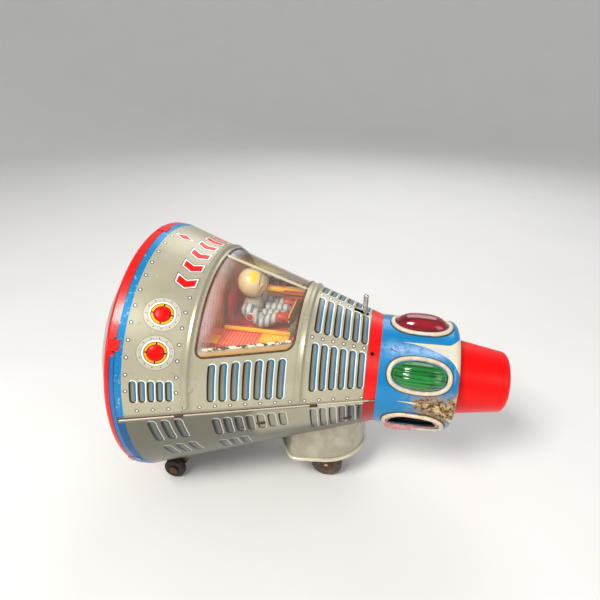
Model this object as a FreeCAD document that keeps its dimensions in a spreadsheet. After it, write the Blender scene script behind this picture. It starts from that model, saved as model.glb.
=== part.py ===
"""Tin space capsule: a battery toy with a cone body, a lamp drum, a cockpit and a swivelling drive unit.

Units are millimetres, +X points to the nose and +Z up. The row origin is at the bottom centre of the
whole toy. Most sizes are given in the capsule's own frame: a station is the distance along the axis
from the rear plane of the rim, and y and z are measured from the axis.
"""

import FreeCAD, Part

import math
import os
import re

import Sketcher

V = FreeCAD.Vector

SIZES = {
    # where the capsule's own frame lies
    "rim_rear_x": -103.25,
    "axis_height": 93.6,
    # tin shells: the outer radius falls along the axis by cone_slope
    "tin": 0.5,
    "cone_slope": 0.345,
    "cone_zero_radius": 91.4,
    "rim_width": 7.8,
    "band_end": 157.4,
    "rib_rear": 46.0,
    "rib_front": 110.4,
    "rib_width": 4.4,
    "rib_height": 1.1,
    # rim and heat shield
    "rim_lip_radius": 83.6,
    "rim_lip": 0.8,
    "rim_round": 3.4,
    "shield_bulge": 36.0,
    # window and canopy
    "window_start": 50.0,
    "window_end": 105.0,
    "window_low": 33.8,
    "window_corner": 5.0,
    "canopy_wall": 1.0,
    "canopy_lap": 3.0,
    # lamp drum and nose
    "drum_radius": 37.3,
    "drum_front": 207.6,
    "drum_round": 5.5,
    "drum_mouth": 24.0,
    "lens_station": 182.6,
    "lens_half_length": 17.2,
    "lens_half_width": 9.1,
    "lens_rise": 7.6,
    "lens_wall": 1.2,
    "bezel_width": 3.0,
    "bezel_rise": 0.9,
    "nose_radius": 25.6,
    "nose_end_radius": 20.6,
    "nose_end": 241.7,
    "nose_round": 5.0,
    "nose_wall": 1.2,
    # cockpit and crew
    "floor_level": 25.0,
    "panel": 0.6,
    "room_overhang": 4.5,
    "console_inner": 27.0,
    "console_width": 19.0,
    "console_tall": 8.0,
    "desk_length": 9.0,
    "desk_width": 46.0,
    "desk_tall": 15.0,
    "helmet_radius": 10.3,
    "helmet_station": 66.0,
    "helmet_level": 54.5,
    "crew_offset": 3.0,
    "seat_width": 20.0,
    "shoulder_offset": 12.0,
    "hand_reach": 24.0,
    # battery box, tilted to follow the belly
    "door_start": 43.0,
    "door_end": 86.0,
    "door_half_angle": 34.0,
    "door_gap": 0.35,
    "hinge_radius": 1.5,
    "hinge_offset": 1.6,
    "box_length": 36.0,
    "box_start": 4.6,
    "box_width": 65.0,
    "box_floor": 10.0,
    "box_top": 79.5,
    "cell_radius": 16.6,
    "cell_length": 58.0,
    # drive unit
    "fairing_station": 120.4,
    "fairing_radius": 32.1,
    "fairing_bottom": -65.0,
    "flank_lead": 4.6,
    "corner_lead": 12.9,
    "corner_half": 34.3,
    "corner_tail": 20.1,
    "corner_waist": 30.6,
    "corner_round": 7.0,
    "heel_half": 12.6,
    "bead_size": 1.1,
    "drive_station": 126.6,
    "base_level": -61.6,
    "upper_level": -36.0,
    "plate": 1.0,
    "post_radius": 1.8,
    "screw_radius": 2.4,
    "table_radius": 20.0,
    "hub_radius": 4.0,
    "yoke_offset": 11.4,
    "module_size": 0.7,
    "pinion_teeth": 8.0,
    "crown_teeth": 24.0,
    "spur_teeth": 32.0,
    "gear_width": 3.0,
    "shaft_radius": 1.25,
    "run_gap": 0.06,
    "wheel_radius": 11.5,
    "wheel_width": 5.0,
    "wheel_offset": 17.0,
    "motor_radius": 12.0,
    "motor_length": 30.0,
    # rear wheels
    "rear_station": 14.2,
    "rear_radius": 8.0,
    "rear_width": 5.0,
    "rear_offset": 43.0,
    "rear_pin": 1.5,
    # switch lever
    "lever_station": 144.8,
    "lever_radius": 1.65,
    "lever_rise": 14.0,
    "lever_depth": 9.0,
    "lever_pin": 0.8,
    "cheek": 0.8,
    "cheek_offset": 3.2,
    "bracket_length": 10.0,
    "strip_start": -8.2,
    "strip_end": 7.0,
}

ALONG_X = FreeCAD.Rotation(V(0, 1, 0), 90)
ALONG_Y = FreeCAD.Rotation(V(1, 0, 0), -90)
UPRIGHT = FreeCAD.Rotation()
UNDER = FreeCAD.Rotation(V(1, 0, 0), 180)
LENS_COUNT = 6
LENS_STEP = 360 / LENS_COUNT
SCRATCH_CELL = "D1"

doc = FreeCAD.newDocument("SpaceCapsule")
sheet = doc.addObject("Spreadsheet::Sheet", "Sheet")
NODES = []


def fill_sheet():
    """Writes each driving size as a plain number with its alias."""
    for row, (alias, number) in enumerate(SIZES.items(), start=1):
        sheet.set(f"A{row}", alias)
        sheet.set(f"B{row}", str(number))
        sheet.setAlias(f"B{row}", alias)
    doc.recompute()


def bound(text):
    """The expression with each size name pointed at its cell."""
    return re.sub(r"[a-z_]+\w*", lambda m: "Sheet." + m[0] if m[0] in SIZES else m[0], str(text))


def value(text):
    """The number an expression gives now, read through a spare cell of the sheet."""
    sheet.set(SCRATCH_CELL, f"=({text}) * 1.0")
    sheet.recompute()
    return float(sheet.get(SCRATCH_CELL))


def bind(thing, prop, text):
    thing.setExpression(prop, bound(text))


def node(thing, name):
    """Marks an object of the document as a finished sub-part."""
    thing.Label = name
    NODES.append(thing)
    return thing


def place(thing, station="0", y="0", z="0", turn=UPRIGHT):
    """Puts an object at a point of the capsule's frame."""
    thing.Placement = FreeCAD.Placement(V(), turn)
    bind(thing, "Placement.Base.x", f"rim_rear_x + ({station})")
    bind(thing, "Placement.Base.y", y)
    bind(thing, "Placement.Base.z", f"axis_height + ({z})")
    return thing


# ---- primitives and booleans -------------------------------------------------------------------


def box(name, low, size):
    """A box from its lowest corner (station, y, z) and its three lengths."""
    thing = doc.addObject("Part::Box", name)
    for prop, text in zip(("Length", "Width", "Height"), size):
        bind(thing, prop, text)
    return place(thing, *low)


def rod(name, at, radius, length, turn=UPRIGHT):
    """A cylinder whose base centre is at a point of the capsule's frame."""
    thing = doc.addObject("Part::Cylinder", name)
    bind(thing, "Radius", radius)
    bind(thing, "Height", length)
    return place(thing, *at, turn=turn)


def cone(name, at, radii, length, turn=ALONG_X):
    thing = doc.addObject("Part::Cone", name)
    bind(thing, "Radius1", radii[0])
    bind(thing, "Radius2", radii[1])
    bind(thing, "Height", length)
    return place(thing, *at, turn=turn)


def ball(name, at, radius):
    thing = doc.addObject("Part::Sphere", name)
    bind(thing, "Radius", radius)
    return place(thing, *at)


def fuse(name, *things):
    thing = doc.addObject("Part::MultiFuse", name)
    thing.Shapes = list(things)
    return thing


def common(name, *things):
    thing = doc.addObject("Part::MultiCommon", name)
    thing.Shapes = list(things)
    return thing


def cut(name, base, *tools):
    thing = doc.addObject("Part::Cut", name)
    thing.Base = base
    thing.Tool = tools[0] if len(tools) == 1 else fuse(name + "_tools", *tools)
    return thing


def group(name, *things):
    thing = doc.addObject("Part::Compound", name)
    thing.Links = list(things)
    return thing


# ---- sketched bodies ---------------------------------------------------------------------------


def new_body(name, at=("0", "0", "0"), turn=UPRIGHT):
    return place(doc.addObject("PartDesign::Body", name), *at, turn=turn)


def sketch_on(body, role, name, offset="0"):
    """An empty sketch on one of the body's own origin planes."""
    sketch = body.newObject("Sketcher::SketchObject", name)
    plane = next(f for f in body.Origin.OriginFeatures if f.Role == role)
    sketch.AttachmentSupport = (plane, [""])
    sketch.MapMode = "FlatFace"
    bind(sketch, "AttachmentOffset.Base.z", offset)
    return sketch


def arc_between(start, end, radius, side):
    """An arc with its centre to the left (side 1) or right (side -1) of the way from start to end."""
    chord = end - start
    reach = math.sqrt(max(radius**2 - (chord.Length / 2) ** 2, 0.0))
    normal = V(-chord.y, chord.x, 0).normalize() * side
    centre = (start + end) * 0.5 + normal * reach
    first, last = (start, end) if side > 0 else (end, start)
    angles = [math.atan2(p.y - centre.y, p.x - centre.x) for p in (first, last)]
    return Part.ArcOfCircle(Part.Circle(centre, V(0, 0, 1), radius), *angles)


def outline(sketch, points, arcs=None):
    """Closes a loop through points, each a pair of expressions. arcs maps a point's index to the
    (radius, side) of the arc that leaves it; the other edges are straight."""
    arcs = arcs or {}
    spots = [V(value(x), value(y), 0) for x, y in points]
    ends = []
    for i, start in enumerate(spots):
        end = spots[(i + 1) % len(spots)]
        if i in arcs:
            radius, side = arcs[i]
            geo = sketch.addGeometry(arc_between(start, end, value(radius), side))
            ends.append((geo, 1, 2) if side > 0 else (geo, 2, 1))
            rule = sketch.addConstraint(Sketcher.Constraint("Radius", geo, value(radius)))
            bind(sketch, f"Constraints[{rule}]", radius)
        else:
            geo = sketch.addGeometry(Part.LineSegment(start, end))
            ends.append((geo, 1, 2))
    for i, (geo, first, _) in enumerate(ends):
        before, _, last = ends[i - 1]
        sketch.addConstraint(Sketcher.Constraint("Coincident", before, last, geo, first))
        for kind, text, number in (
            ("DistanceX", points[i][0], spots[i].x),
            ("DistanceY", points[i][1], spots[i].y),
        ):
            rule = sketch.addConstraint(Sketcher.Constraint(kind, -1, 1, geo, first, number))
            bind(sketch, f"Constraints[{rule}]", text)


def circle(sketch, x, y, radius):
    """A circle fixed by the expressions of its centre and radius."""
    spot = V(value(x), value(y), 0)
    geo = sketch.addGeometry(Part.Circle(spot, V(0, 0, 1), value(radius)))
    for kind, text, number in (("DistanceX", x, spot.x), ("DistanceY", y, spot.y)):
        rule = sketch.addConstraint(Sketcher.Constraint(kind, -1, 1, geo, 3, number))
        bind(sketch, f"Constraints[{rule}]", text)
    rule = sketch.addConstraint(Sketcher.Constraint("Radius", geo, value(radius)))
    bind(sketch, f"Constraints[{rule}]", radius)


def turned(body, name, points, arcs=None, angle="360"):
    """Adds a solid of revolution about the body's X axis, centred on its XZ plane."""
    sketch = sketch_on(body, "XZ_Plane", name + "_profile")
    outline(sketch, points, arcs)
    feature = body.newObject("PartDesign::Revolution", name)
    feature.Profile = sketch
    feature.ReferenceAxis = (sketch, ["H_Axis"])
    feature.Midplane = True
    bind(feature, "Angle", angle)
    return feature


def padded(body, name, role, length, draw, offset="0", midplane=False):
    """Adds a pad; draw fills its sketch."""
    sketch = sketch_on(body, role, name + "_profile", offset)
    draw(sketch)
    feature = body.newObject("PartDesign::Pad", name)
    feature.Profile = sketch
    feature.Midplane = midplane
    bind(feature, "Length", length)
    return feature


def repeated(body, feature, count, role="Z_Axis"):
    """Copies a feature round one of the body's axes."""
    pattern = body.newObject("PartDesign::PolarPattern", feature.Name + "_ring")
    pattern.Originals = [feature]
    axis = next(f for f in body.Origin.OriginFeatures if f.Role == role)
    pattern.Axis = (axis, [""])
    pattern.Angle = 360
    bind(pattern, "Occurrences", count)
    body.Tip = pattern
    return pattern


def skin(station, depth="0"):
    """The cone's outer radius at a station, less a depth."""
    return f"(cone_zero_radius - cone_slope * ({station}) - ({depth}))"


def cone_block(name, depth, start="rim_width", end="band_end"):
    """The solid cone inside the shells, its surface lowered by a depth."""
    return cone(name, (start,), (skin(start, depth), skin(end, depth)), f"({end}) - ({start})")


# ---- shells, rim and heat shield -----------------------------------------------------------------


def shell_strip(start, end, outer="0", inner="tin"):
    """Four corners of a strip of tin that follows the cone."""
    return [
        (start, skin(start, inner)),
        (end, skin(end, inner)),
        (end, skin(end, outer)),
        (start, skin(start, outer)),
    ]


def half_shell(name, turn):
    body = new_body(name + "_body", turn=turn)
    turned(body, name + "_cone", shell_strip("rim_width", "band_end"), angle="180")
    return body


def rib(body, name, station):
    """A pressed rib across the upper shell that fades out above the seam."""
    half = "rib_width / 2"
    points = [
        (f"{station} - {half}", skin(f"{station} - {half}", "tin / 2")),
        (f"{station} + {half}", skin(f"{station} + {half}", "tin / 2")),
        (f"{station} + {half}", skin(f"{station} + {half}", "0")),
        (f"{station} + rib_width / 5", skin(station, "-rib_height")),
        (f"{station} - rib_width / 5", skin(station, "-rib_height")),
        (f"{station} - {half}", skin(f"{station} - {half}", "0")),
    ]
    turned(body, name, points, angle="172")


def upper_shell():
    body = half_shell("upper_shell", UPRIGHT)
    rib(body, "rear_rib", "rib_rear")
    rib(body, "front_rib", "rib_front")
    sketch = sketch_on(body, "XZ_Plane", "window_profile")
    high = skin("0")
    points = [
        ("window_start + window_corner", "window_low"),
        ("window_end - window_corner", "window_low"),
        ("window_end", "window_low + window_corner"),
        ("window_end", high),
        ("window_start", high),
        ("window_start", "window_low + window_corner"),
    ]
    outline(sketch, points, {1: ("window_corner", 1), 5: ("window_corner", 1)})
    window = body.newObject("PartDesign::Pocket", "window")
    window.Profile = sketch
    window.Midplane = True
    bind(window, "Length", "4 * drum_radius + 2 * window_low")
    slot = box(
        "lever_slot",
        ("lever_station - 7.2", "-2.2", skin("lever_station", "5")),
        ("9.8", "4.4", "12"),
    )
    drain = rod("shell_hole", ("152.6", "0", "0"), "0.9", "45", FreeCAD.Rotation(V(1, 0, 0), 45))
    node(cut("upper_shell", body, slot, drain), "upper_shell")


def lower_shell():
    body = half_shell("lower_shell", UNDER)
    sketch = sketch_on(body, "XZ_Plane", "door_opening_profile")
    outline(sketch, shell_strip("door_start", "door_end", "-2", "tin + 2"))
    groove = body.newObject("PartDesign::Groove", "door_opening")
    groove.Profile = sketch
    groove.ReferenceAxis = (sketch, ["H_Axis"])
    groove.Midplane = True
    bind(groove, "Angle", "2 * door_half_angle")
    drive_hole = rod("drive_hole", ("fairing_station", "0", "-70"), "fairing_radius - 4", "60")
    node(cut("lower_shell", body, drive_hole), "lower_shell")


def rim_ring():
    """The red rolled rim: a lip behind, a flush band outside and a sleeve under the shells."""
    body = new_body("rim_ring_body")
    sleeve = "rim_width + 4.2"
    points = [
        ("rim_width", skin("rim_width")),
        ("3", f"{skin('rim_width')} + 0.4"),
        ("0", "rim_lip_radius + 2.4"),
        ("0", "rim_lip_radius"),
        ("rim_lip", "rim_lip_radius"),
        ("rim_lip", "rim_lip_radius + 2"),
        ("3.2", f"{skin('rim_width')} - 0.9"),
        (sleeve, skin(sleeve, "tin + 0.6")),
        (sleeve, skin(sleeve, "tin")),
        ("rim_width", skin("rim_width", "tin")),
    ]
    turned(body, "rim_roll", points, {1: ("rim_round", 1)})
    tab = padded(
        body,
        "rim_tab",
        "XZ_Plane",
        "7",
        lambda sketch: outline(
            sketch,
            [
                ("0.6", f"{skin('rim_width')} - 1.2"),
                ("rim_width", skin("rim_width")),
                ("rim_width + 1.8", skin("rim_width + 1.8")),
                ("rim_width + 1.8", skin("rim_width + 1.8", "-0.5")),
                ("3", f"{skin('rim_width')} + 0.9"),
            ],
        ),
        midplane=True,
    )
    repeated(body, tab, "6", "X_Axis")
    node(body, "rim_ring")


def heat_shield():
    """A thin dome whose flat edge is trapped behind the rim's lip."""
    body = new_body("heat_shield_body")
    edge = "rim_lip_radius - 0.3"
    bend = f"(({edge}) ^ 2 + shield_bulge ^ 2) / (2 * shield_bulge)"
    points = [
        ("rim_lip - shield_bulge", "0"),
        ("rim_lip - shield_bulge + tin", "0"),
        ("rim_lip + tin", edge),
        ("rim_lip + tin", "rim_lip_radius + 1.8"),
        ("rim_lip", "rim_lip_radius + 1.8"),
        ("rim_lip", edge),
    ]
    turned(body, "shield_dome", points, {1: (bend, -1), 5: (bend, 1)})
    node(body, "heat_shield")


# ---- canopy and cockpit ----------------------------------------------------------------------------


def canopy():
    """A clear cover trapped under the shell's window, with a bead along the top."""
    start, end = "window_start - canopy_lap", "window_end + canopy_lap"
    body = new_body("canopy_body")
    turned(body, "canopy_pane", shell_strip(start, end, "tin", "tin + canopy_wall"), angle="180")
    turned(
        body,
        "canopy_bead",
        shell_strip("window_start + 0.3", "window_end - 0.3", "-0.2", "tin + 0.2"),
        angle="2.6",
    )
    keep = box(
        "canopy_keep",
        (start, "-100", "window_low - canopy_lap"),
        (f"{end} - ({start})", "200", "100"),
    )
    node(common("canopy", body, keep), "canopy")


def cockpit():
    """The painted room under the window: floor, end panels, side consoles and a sloping desk."""
    start, end = "window_start - room_overhang", "window_end + room_overhang"
    room = cone_block("cockpit_room", "tin + canopy_wall + 0.3", start, end)
    wide = "140"

    def slab(name, station, low, length, tall):
        block = box(name + "_block", (station, "-70", low), (length, wide, tall))
        return node(common(name, room, block), name)

    slab("cockpit_floor", start, "floor_level - panel", f"{end} - ({start})", "panel")
    slab("cockpit_rear_panel", start, "floor_level", "panel", "60")
    slab("cockpit_front_panel", f"{end} - panel", "floor_level", "panel", "60")
    consoles = []
    for side, low in (("near", "-console_inner - console_width"), ("far", "console_inner")):
        block = box(
            f"console_{side}_block",
            ("window_start - 3", low, "floor_level"),
            ("window_end - window_start", "console_width", "console_tall"),
        )
        consoles.append(common(f"side_console_{side}", room, block))
    node(group("side_consoles", *consoles), "side_consoles")
    desk_start = "window_end - desk_length"
    desk = box("desk_block", (desk_start, "-20", "floor_level"), ("desk_length", "desk_width", "desk_tall"))
    slope = box("desk_slope", ("0", "0", "0"), ("12", "desk_width + 2", "14"))
    place(slope, desk_start, "-21", "floor_level + desk_tall - 8", FreeCAD.Rotation(V(0, 1, 0), -28))
    node(cut("instrument_panel", desk, slope), "instrument_panel")


def crew():
    """The seat and the sitting astronaut, who faces the nose."""
    station, level, middle = "helmet_station", "helmet_level", "crew_offset"
    seat_low = "crew_offset - seat_width / 2"
    back = box("seat_back", (f"{station} - 15", seat_low, "floor_level"), ("3", "seat_width", "22"))
    pan = box("seat_pan", (f"{station} - 12", seat_low, "floor_level"), ("20", "seat_width", "4"))
    node(fuse("seat", back, pan), "seat")
    helmet = ball("helmet_ball", (station, middle, level), "helmet_radius")
    torso_top = f"{level} - helmet_radius - 1"
    neck = rod("helmet_collar", (station, middle, torso_top), "6.4", "4")
    node(fuse("astronaut_helmet", helmet, neck), "astronaut_helmet")
    chest = doc.addObject("Part::Ellipsoid", "torso_chest")
    bind(chest, "Radius1", "9.6")
    bind(chest, "Radius2", "7.6")
    bind(chest, "Radius3", "9.2")
    place(chest, station, middle, f"{torso_top} - 8.4")
    hips = "floor_level + 4"
    room = box("torso_keep", (f"{station} - 11.9", "-30", hips), ("40", "60", f"{torso_top} - ({hips})"))
    node(common("astronaut_torso", chest, room), "astronaut_torso")
    arms = []
    for side, sign in (("near", -1), ("far", 1)):
        out = f"{middle} + {sign} * shoulder_offset"
        shoulder = ball(f"shoulder_{side}", (station, out, f"{torso_top} - 4"), "4.2")
        elbow_at = (f"{station} + 10", f"{out} + {sign} * 0.6", f"{torso_top} - 9")
        elbow = ball(f"elbow_{side}", elbow_at, "3.6")
        hand_at = (f"{station} + hand_reach", f"{out} - {sign} * 2", f"{torso_top} - 4.6")
        hand = ball(f"hand_{side}", hand_at, "3.4")
        upper = limb(f"upper_arm_{side}", shoulder, elbow, "3.6")
        fore = limb(f"fore_arm_{side}", elbow, hand, "3.0")
        whole = fuse(f"arm_whole_{side}", shoulder, elbow, hand, upper, fore)
        arms.append(cut(f"astronaut_arm_{side}", whole, chest))
    node(group("astronaut_arms", *arms), "astronaut_arms")
    thighs = []
    for side, sign in (("near", -1), ("far", 1)):
        at = (f"{station} + 9", f"{middle} + {sign * 5}", "floor_level + 8.2")
        thighs.append(rod(f"leg_{side}", at, "4", "17", ALONG_X))
    node(group("astronaut_legs", *thighs), "astronaut_legs")
    grip_station, grip_tall = f"{station} + hand_reach + 4.6", "12.6"
    stem = rod("grip_stem", (grip_station, middle, "floor_level"), "1.1", grip_tall)
    bar_at = (grip_station, f"{middle} - 12", f"floor_level + {grip_tall} - 0.2")
    bar = rod("grip_bar", bar_at, "1.2", "24", ALONG_Y)
    node(fuse("control_grip", stem, bar), "control_grip")


def limb(name, first, last, radius):
    """A cylinder from the centre of one ball to the centre of another."""
    doc.recompute()
    start, end = first.Placement.Base, last.Placement.Base
    thing = doc.addObject("Part::Cylinder", name)
    bind(thing, "Radius", radius)
    thing.Height = (end - start).Length
    thing.Placement = FreeCAD.Placement(start, FreeCAD.Rotation(V(0, 0, 1), end - start))
    return thing


# ---- lamp drum and nose ------------------------------------------------------------------------------


def oval(name, grow, low, tall):
    """An upright oval prism over the first lens place."""
    thing = doc.addObject("Part::Ellipse", name + "_line")
    bind(thing, "MajorRadius", f"lens_half_length + ({grow})")
    bind(thing, "MinorRadius", f"lens_half_width + ({grow})")
    place(thing, "lens_station", "0", low)
    prism = doc.addObject("Part::Extrusion", name)
    prism.Base = thing
    prism.DirMode = "Custom"
    prism.Dir = V(0, 0, 1)
    bind(prism, "LengthFwd", tall)
    prism.Solid = True
    return prism


def around_axis(name, thing, angle):
    """A linked copy of a piece, turned about the capsule's axis."""
    copy = doc.addObject("App::Link", name)
    copy.LinkedObject = thing
    spin = FreeCAD.Rotation(V(1, 0, 0), angle)
    centre = V(0, 0, value("axis_height"))
    copy.LinkTransform = False
    copy.Placement = FreeCAD.Placement(centre - spin.multVec(centre), spin)
    return copy


def lens_housing():
    """The blue drum with six oval windows, each with a pressed bezel."""
    body = new_body("drum_body")
    turned(
        body,
        "drum_wall",
        [
            ("band_end", "drum_radius - tin"),
            ("drum_front - drum_round", "drum_radius - tin"),
            ("drum_front - tin", "drum_radius - drum_round"),
            ("drum_front - tin", "drum_mouth"),
            ("drum_front", "drum_mouth"),
            ("drum_front", "drum_radius - drum_round"),
            ("drum_front - drum_round", "drum_radius"),
            ("band_end", "drum_radius"),
        ],
        {1: ("drum_round - tin", -1), 5: ("drum_round", 1)},
    )
    sleeve = rod("bezel_sleeve", ("band_end + 1",), "drum_radius + bezel_rise", "48", ALONG_X)
    hollow = rod("bezel_hollow", ("band_end",), "drum_radius - tin", "50", ALONG_X)
    outer = oval("bezel_outer", "bezel_width", "20", "30")
    first = common("bezel_first", cut("bezel_tube", sleeve, hollow), outer)
    hole = oval("lens_hole", "0", "20", "30")
    turns = [(i, -LENS_STEP * i) for i in range(1, LENS_COUNT)]
    rings = [first] + [around_axis(f"bezel_{i}", first, turn) for i, turn in turns]
    holes = [hole] + [around_axis(f"hole_{i}", hole, turn) for i, turn in turns]
    node(cut("lens_housing", fuse("drum_and_bezels", body, *rings), *holes), "lens_housing")


def lens_at(name, angle):
    """A hollow oval dome with a flange under the drum's wall."""
    plug = oval(f"{name}_plug", "-0.15", "drum_radius - 6", "30")
    deep = oval(f"{name}_deep", "-0.15 - lens_wall", "drum_radius - 8", "40")
    foot = oval(f"{name}_foot", "1.6", "drum_radius - 12", "30")
    dome = doc.addObject("Part::Ellipsoid", f"{name}_dome")
    core = doc.addObject("Part::Ellipsoid", f"{name}_core")
    for shape, less in ((dome, "0"), (core, "lens_wall")):
        bind(shape, "Radius1", f"lens_rise + 7 - {less}")
        bind(shape, "Radius2", f"(lens_half_length + 6.5) - {less}")
        bind(shape, "Radius3", f"(lens_half_width + 3.4) - {less}")
        place(shape, "lens_station", "0", "drum_radius - 7")
    inner = rod(f"{name}_inside", ("band_end + 1",), "drum_radius - tin - 1.3", "48", ALONG_X)
    wall = rod(f"{name}_wall", ("band_end + 2",), "drum_radius - tin - 0.1", "46", ALONG_X)
    cap = common(f"{name}_cap", plug, dome)
    flange = common(f"{name}_flange", foot, wall)
    whole = fuse(f"{name}_whole", cap, flange)
    hollow = fuse(f"{name}_hollow", common(f"{name}_void", deep, core), inner)
    lens = cut(f"{name}_first", whole, hollow)
    return around_axis(name, lens, angle)


def broken(lens, name, angle):
    """The lens with its dome knocked out, which leaves the flange and a stub of the wall."""
    punch = oval(f"{name}_punch", "-2.2", "20", "40")
    return cut(f"{name}_left", lens, around_axis(f"{name}_hole", punch, angle))


def nose_cone():
    """A hollow moulded cap with a rounded tip and a spigot in the drum's mouth."""
    body = new_body("nose_body")
    step = "drum_front"
    tip = "nose_end"
    points = [
        (f"{step} - 5", "drum_mouth - 1.3"),
        (f"{tip} - nose_wall - nose_round", "nose_end_radius - nose_wall"),
        (f"{tip} - nose_wall", "nose_end_radius - nose_wall - nose_round + 1"),
        (f"{tip} - nose_wall", "0"),
        (tip, "0"),
        (tip, "nose_end_radius - nose_round"),
        (f"{tip} - nose_round", "nose_end_radius"),
        (step, "nose_radius"),
        (step, "drum_mouth - 0.05"),
        (f"{step} - 5", "drum_mouth - 0.05"),
    ]
    turned(body, "nose_shell", points, {5: ("nose_round", 1)})
    node(body, "nose_cone")


def lamp():
    """The bulb in its socket on a bracket across the back of the drum."""
    bracket = rod("bracket_disc", ("band_end + 0.3",), "drum_radius - tin - 0.2", "0.8", ALONG_X)
    seat = rod("bracket_hole", ("band_end",), "6.1", "4", ALONG_X)
    node(cut("lamp_bracket", bracket, seat), "lamp_bracket")
    socket = rod("socket_tube", ("band_end - 3",), "6", "15", ALONG_X)
    bore = rod("socket_bore", ("band_end - 1",), "5.1", "15", ALONG_X)
    node(cut("lamp_socket", socket, bore), "lamp_socket")
    base = rod("bulb_base", ("band_end - 0.5",), "5", "13", ALONG_X)
    glass = ball("bulb_glass", ("band_end + 18",), "7.5")
    node(fuse("lamp_bulb", base, glass), "lamp_bulb")


# ---- switch ------------------------------------------------------------------------------------------


def switch():
    """The lever swings on a pin under the crest of the upper shell."""
    at = "lever_station"
    pivot = skin(at, "lever_depth")
    tall = "lever_depth + lever_rise - lever_radius"
    stem = rod("lever_stem", (at, "0", pivot), "lever_radius", tall)
    tip = ball("lever_tip", (at, "0", f"{pivot} + {tall}"), "lever_radius")
    hub = rod("lever_hub", (at, "-2", pivot), "2.8", "4", ALONG_Y)
    bore = rod("lever_bore", (at, "-3", pivot), "lever_pin + run_gap", "6", ALONG_Y)
    node(cut("switch_lever", fuse("lever_solid", stem, tip, hub), bore), "switch_lever")
    half = "(cheek_offset + cheek)"
    pin = rod("switch_pin", (at, f"-{half} - 0.2", pivot), "lever_pin", f"2 * {half} + 0.4", ALONG_Y)
    node(pin, "switch_pin")
    low = f"{pivot} - 4.8"
    start = f"{at} - bracket_length / 2"
    cheeks = [
        box(f"cheek_{side}", (start, edge, f"{pivot} - 4"), ("bracket_length", "cheek", "6.6"))
        for side, edge in (("near", f"-{half}"), ("far", "cheek_offset"))
    ]
    strip_low = (f"{at} + strip_start", f"-{half}", low)
    strip = box("bracket_strip", strip_low, ("strip_end - strip_start", f"2 * {half}", "cheek"))
    posts = [
        box(f"bracket_post_{i}", (f"{at} + {x}", f"-{half}", low), ("cheek", f"2 * {half}", "17"))
        for i, x in enumerate(("strip_start", "strip_end - cheek"))
    ]
    pin_hole = rod("cheek_hole", (at, "-5", pivot), "lever_pin", "10", ALONG_Y)
    joined = fuse("bracket_solid", strip, *cheeks, *posts)
    trimmed = common("bracket_trimmed", joined, cone_block("switch_room", "tin + 0.05"))
    node(cut("switch_bracket", trimmed, pin_hole), "switch_bracket")


# ---- battery box and door ------------------------------------------------------------------------------


def belly_turn():
    """The turn that lays a piece along the belly's lowest line."""
    return FreeCAD.Rotation(V(0, 1, 0), -math.degrees(math.atan(value("cone_slope"))))


def on_belly(thing, along, across, up):
    """Puts a piece in the battery box's frame, which follows the belly from the door's rear edge."""
    turn = belly_turn()
    root = V(value("rim_rear_x + door_start"), 0, value("axis_height") - value(skin("door_start")))
    spot = root + turn.multVec(V(value(along), value(across), value(up)))
    thing.Placement = FreeCAD.Placement(spot, turn.multiply(thing.Placement.Rotation))
    return thing


def belly_box(name, low, size):
    thing = doc.addObject("Part::Box", name)
    for prop, text in zip(("Length", "Width", "Height"), size):
        bind(thing, prop, text)
    return on_belly(thing, *low)


def battery_box():
    """An open-bottomed tin box that holds two cells, one above the other, and their contact strips."""
    wall = "0.8"
    deep = "(box_top - box_floor)"
    shell = belly_box(
        "box_block",
        ("box_start", "-box_width / 2", "box_floor"),
        ("box_length", "box_width", deep),
    )
    room = belly_box(
        "box_room",
        (f"box_start + {wall}", f"-box_width / 2 + {wall}", "box_floor - 1"),
        (f"box_length - 2 * {wall}", f"box_width - 2 * {wall}", f"{deep} + 1 - {wall}"),
    )
    node(cut("battery_box", shell, room), "battery_box")
    plates = []
    levels = {"lower": "box_floor + 0.4 + cell_radius", "upper": "box_top - 1 - cell_radius"}
    for name, up in levels.items():
        can = doc.addObject("Part::Cylinder", f"cell_{name}_can")
        nub = doc.addObject("Part::Cylinder", f"cell_{name}_nub")
        for piece, radius, length, across in (
            (can, "cell_radius", "cell_length", "-cell_length / 2 - 0.8"),
            (nub, "4.5", "1.6", "cell_length / 2 - 0.8"),
        ):
            bind(piece, "Radius", radius)
            bind(piece, "Height", length)
            piece.Placement = FreeCAD.Placement(V(), ALONG_Y)
            on_belly(piece, "box_start + box_length / 2", across, up)
        node(fuse(f"battery_{name}", can, nub), f"battery_{name}")
        for side, across in (("near", "-box_width / 2 + 0.8"), ("far", "box_width / 2 - 1.3")):
            low = ("box_start + box_length / 2 - 9", across, f"{up} - 9")
            plates.append(belly_box(f"contact_{side}_{name}", low, ("18", "0.5", "18")))
    node(group("battery_contacts", *plates), "battery_contacts")


def hinge_point(station):
    """A point on the door's hinge line, which runs along the far edge of the door."""
    angle = math.radians(value("door_half_angle"))
    reach = value(skin(station)) + value("hinge_offset")
    height = value("axis_height") - reach * math.cos(angle)
    return V(value(f"rim_rear_x + {station}"), reach * math.sin(angle), height)


def hinge_rod(name, start, end, radius):
    """A cylinder on the hinge line between two stations."""
    first, last = hinge_point(start), hinge_point(end)
    thing = doc.addObject("Part::Cylinder", name)
    bind(thing, "Radius", radius)
    thing.Height = (last - first).Length
    thing.Placement = FreeCAD.Placement(first, FreeCAD.Rotation(V(0, 0, 1), last - first))
    return thing


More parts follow.
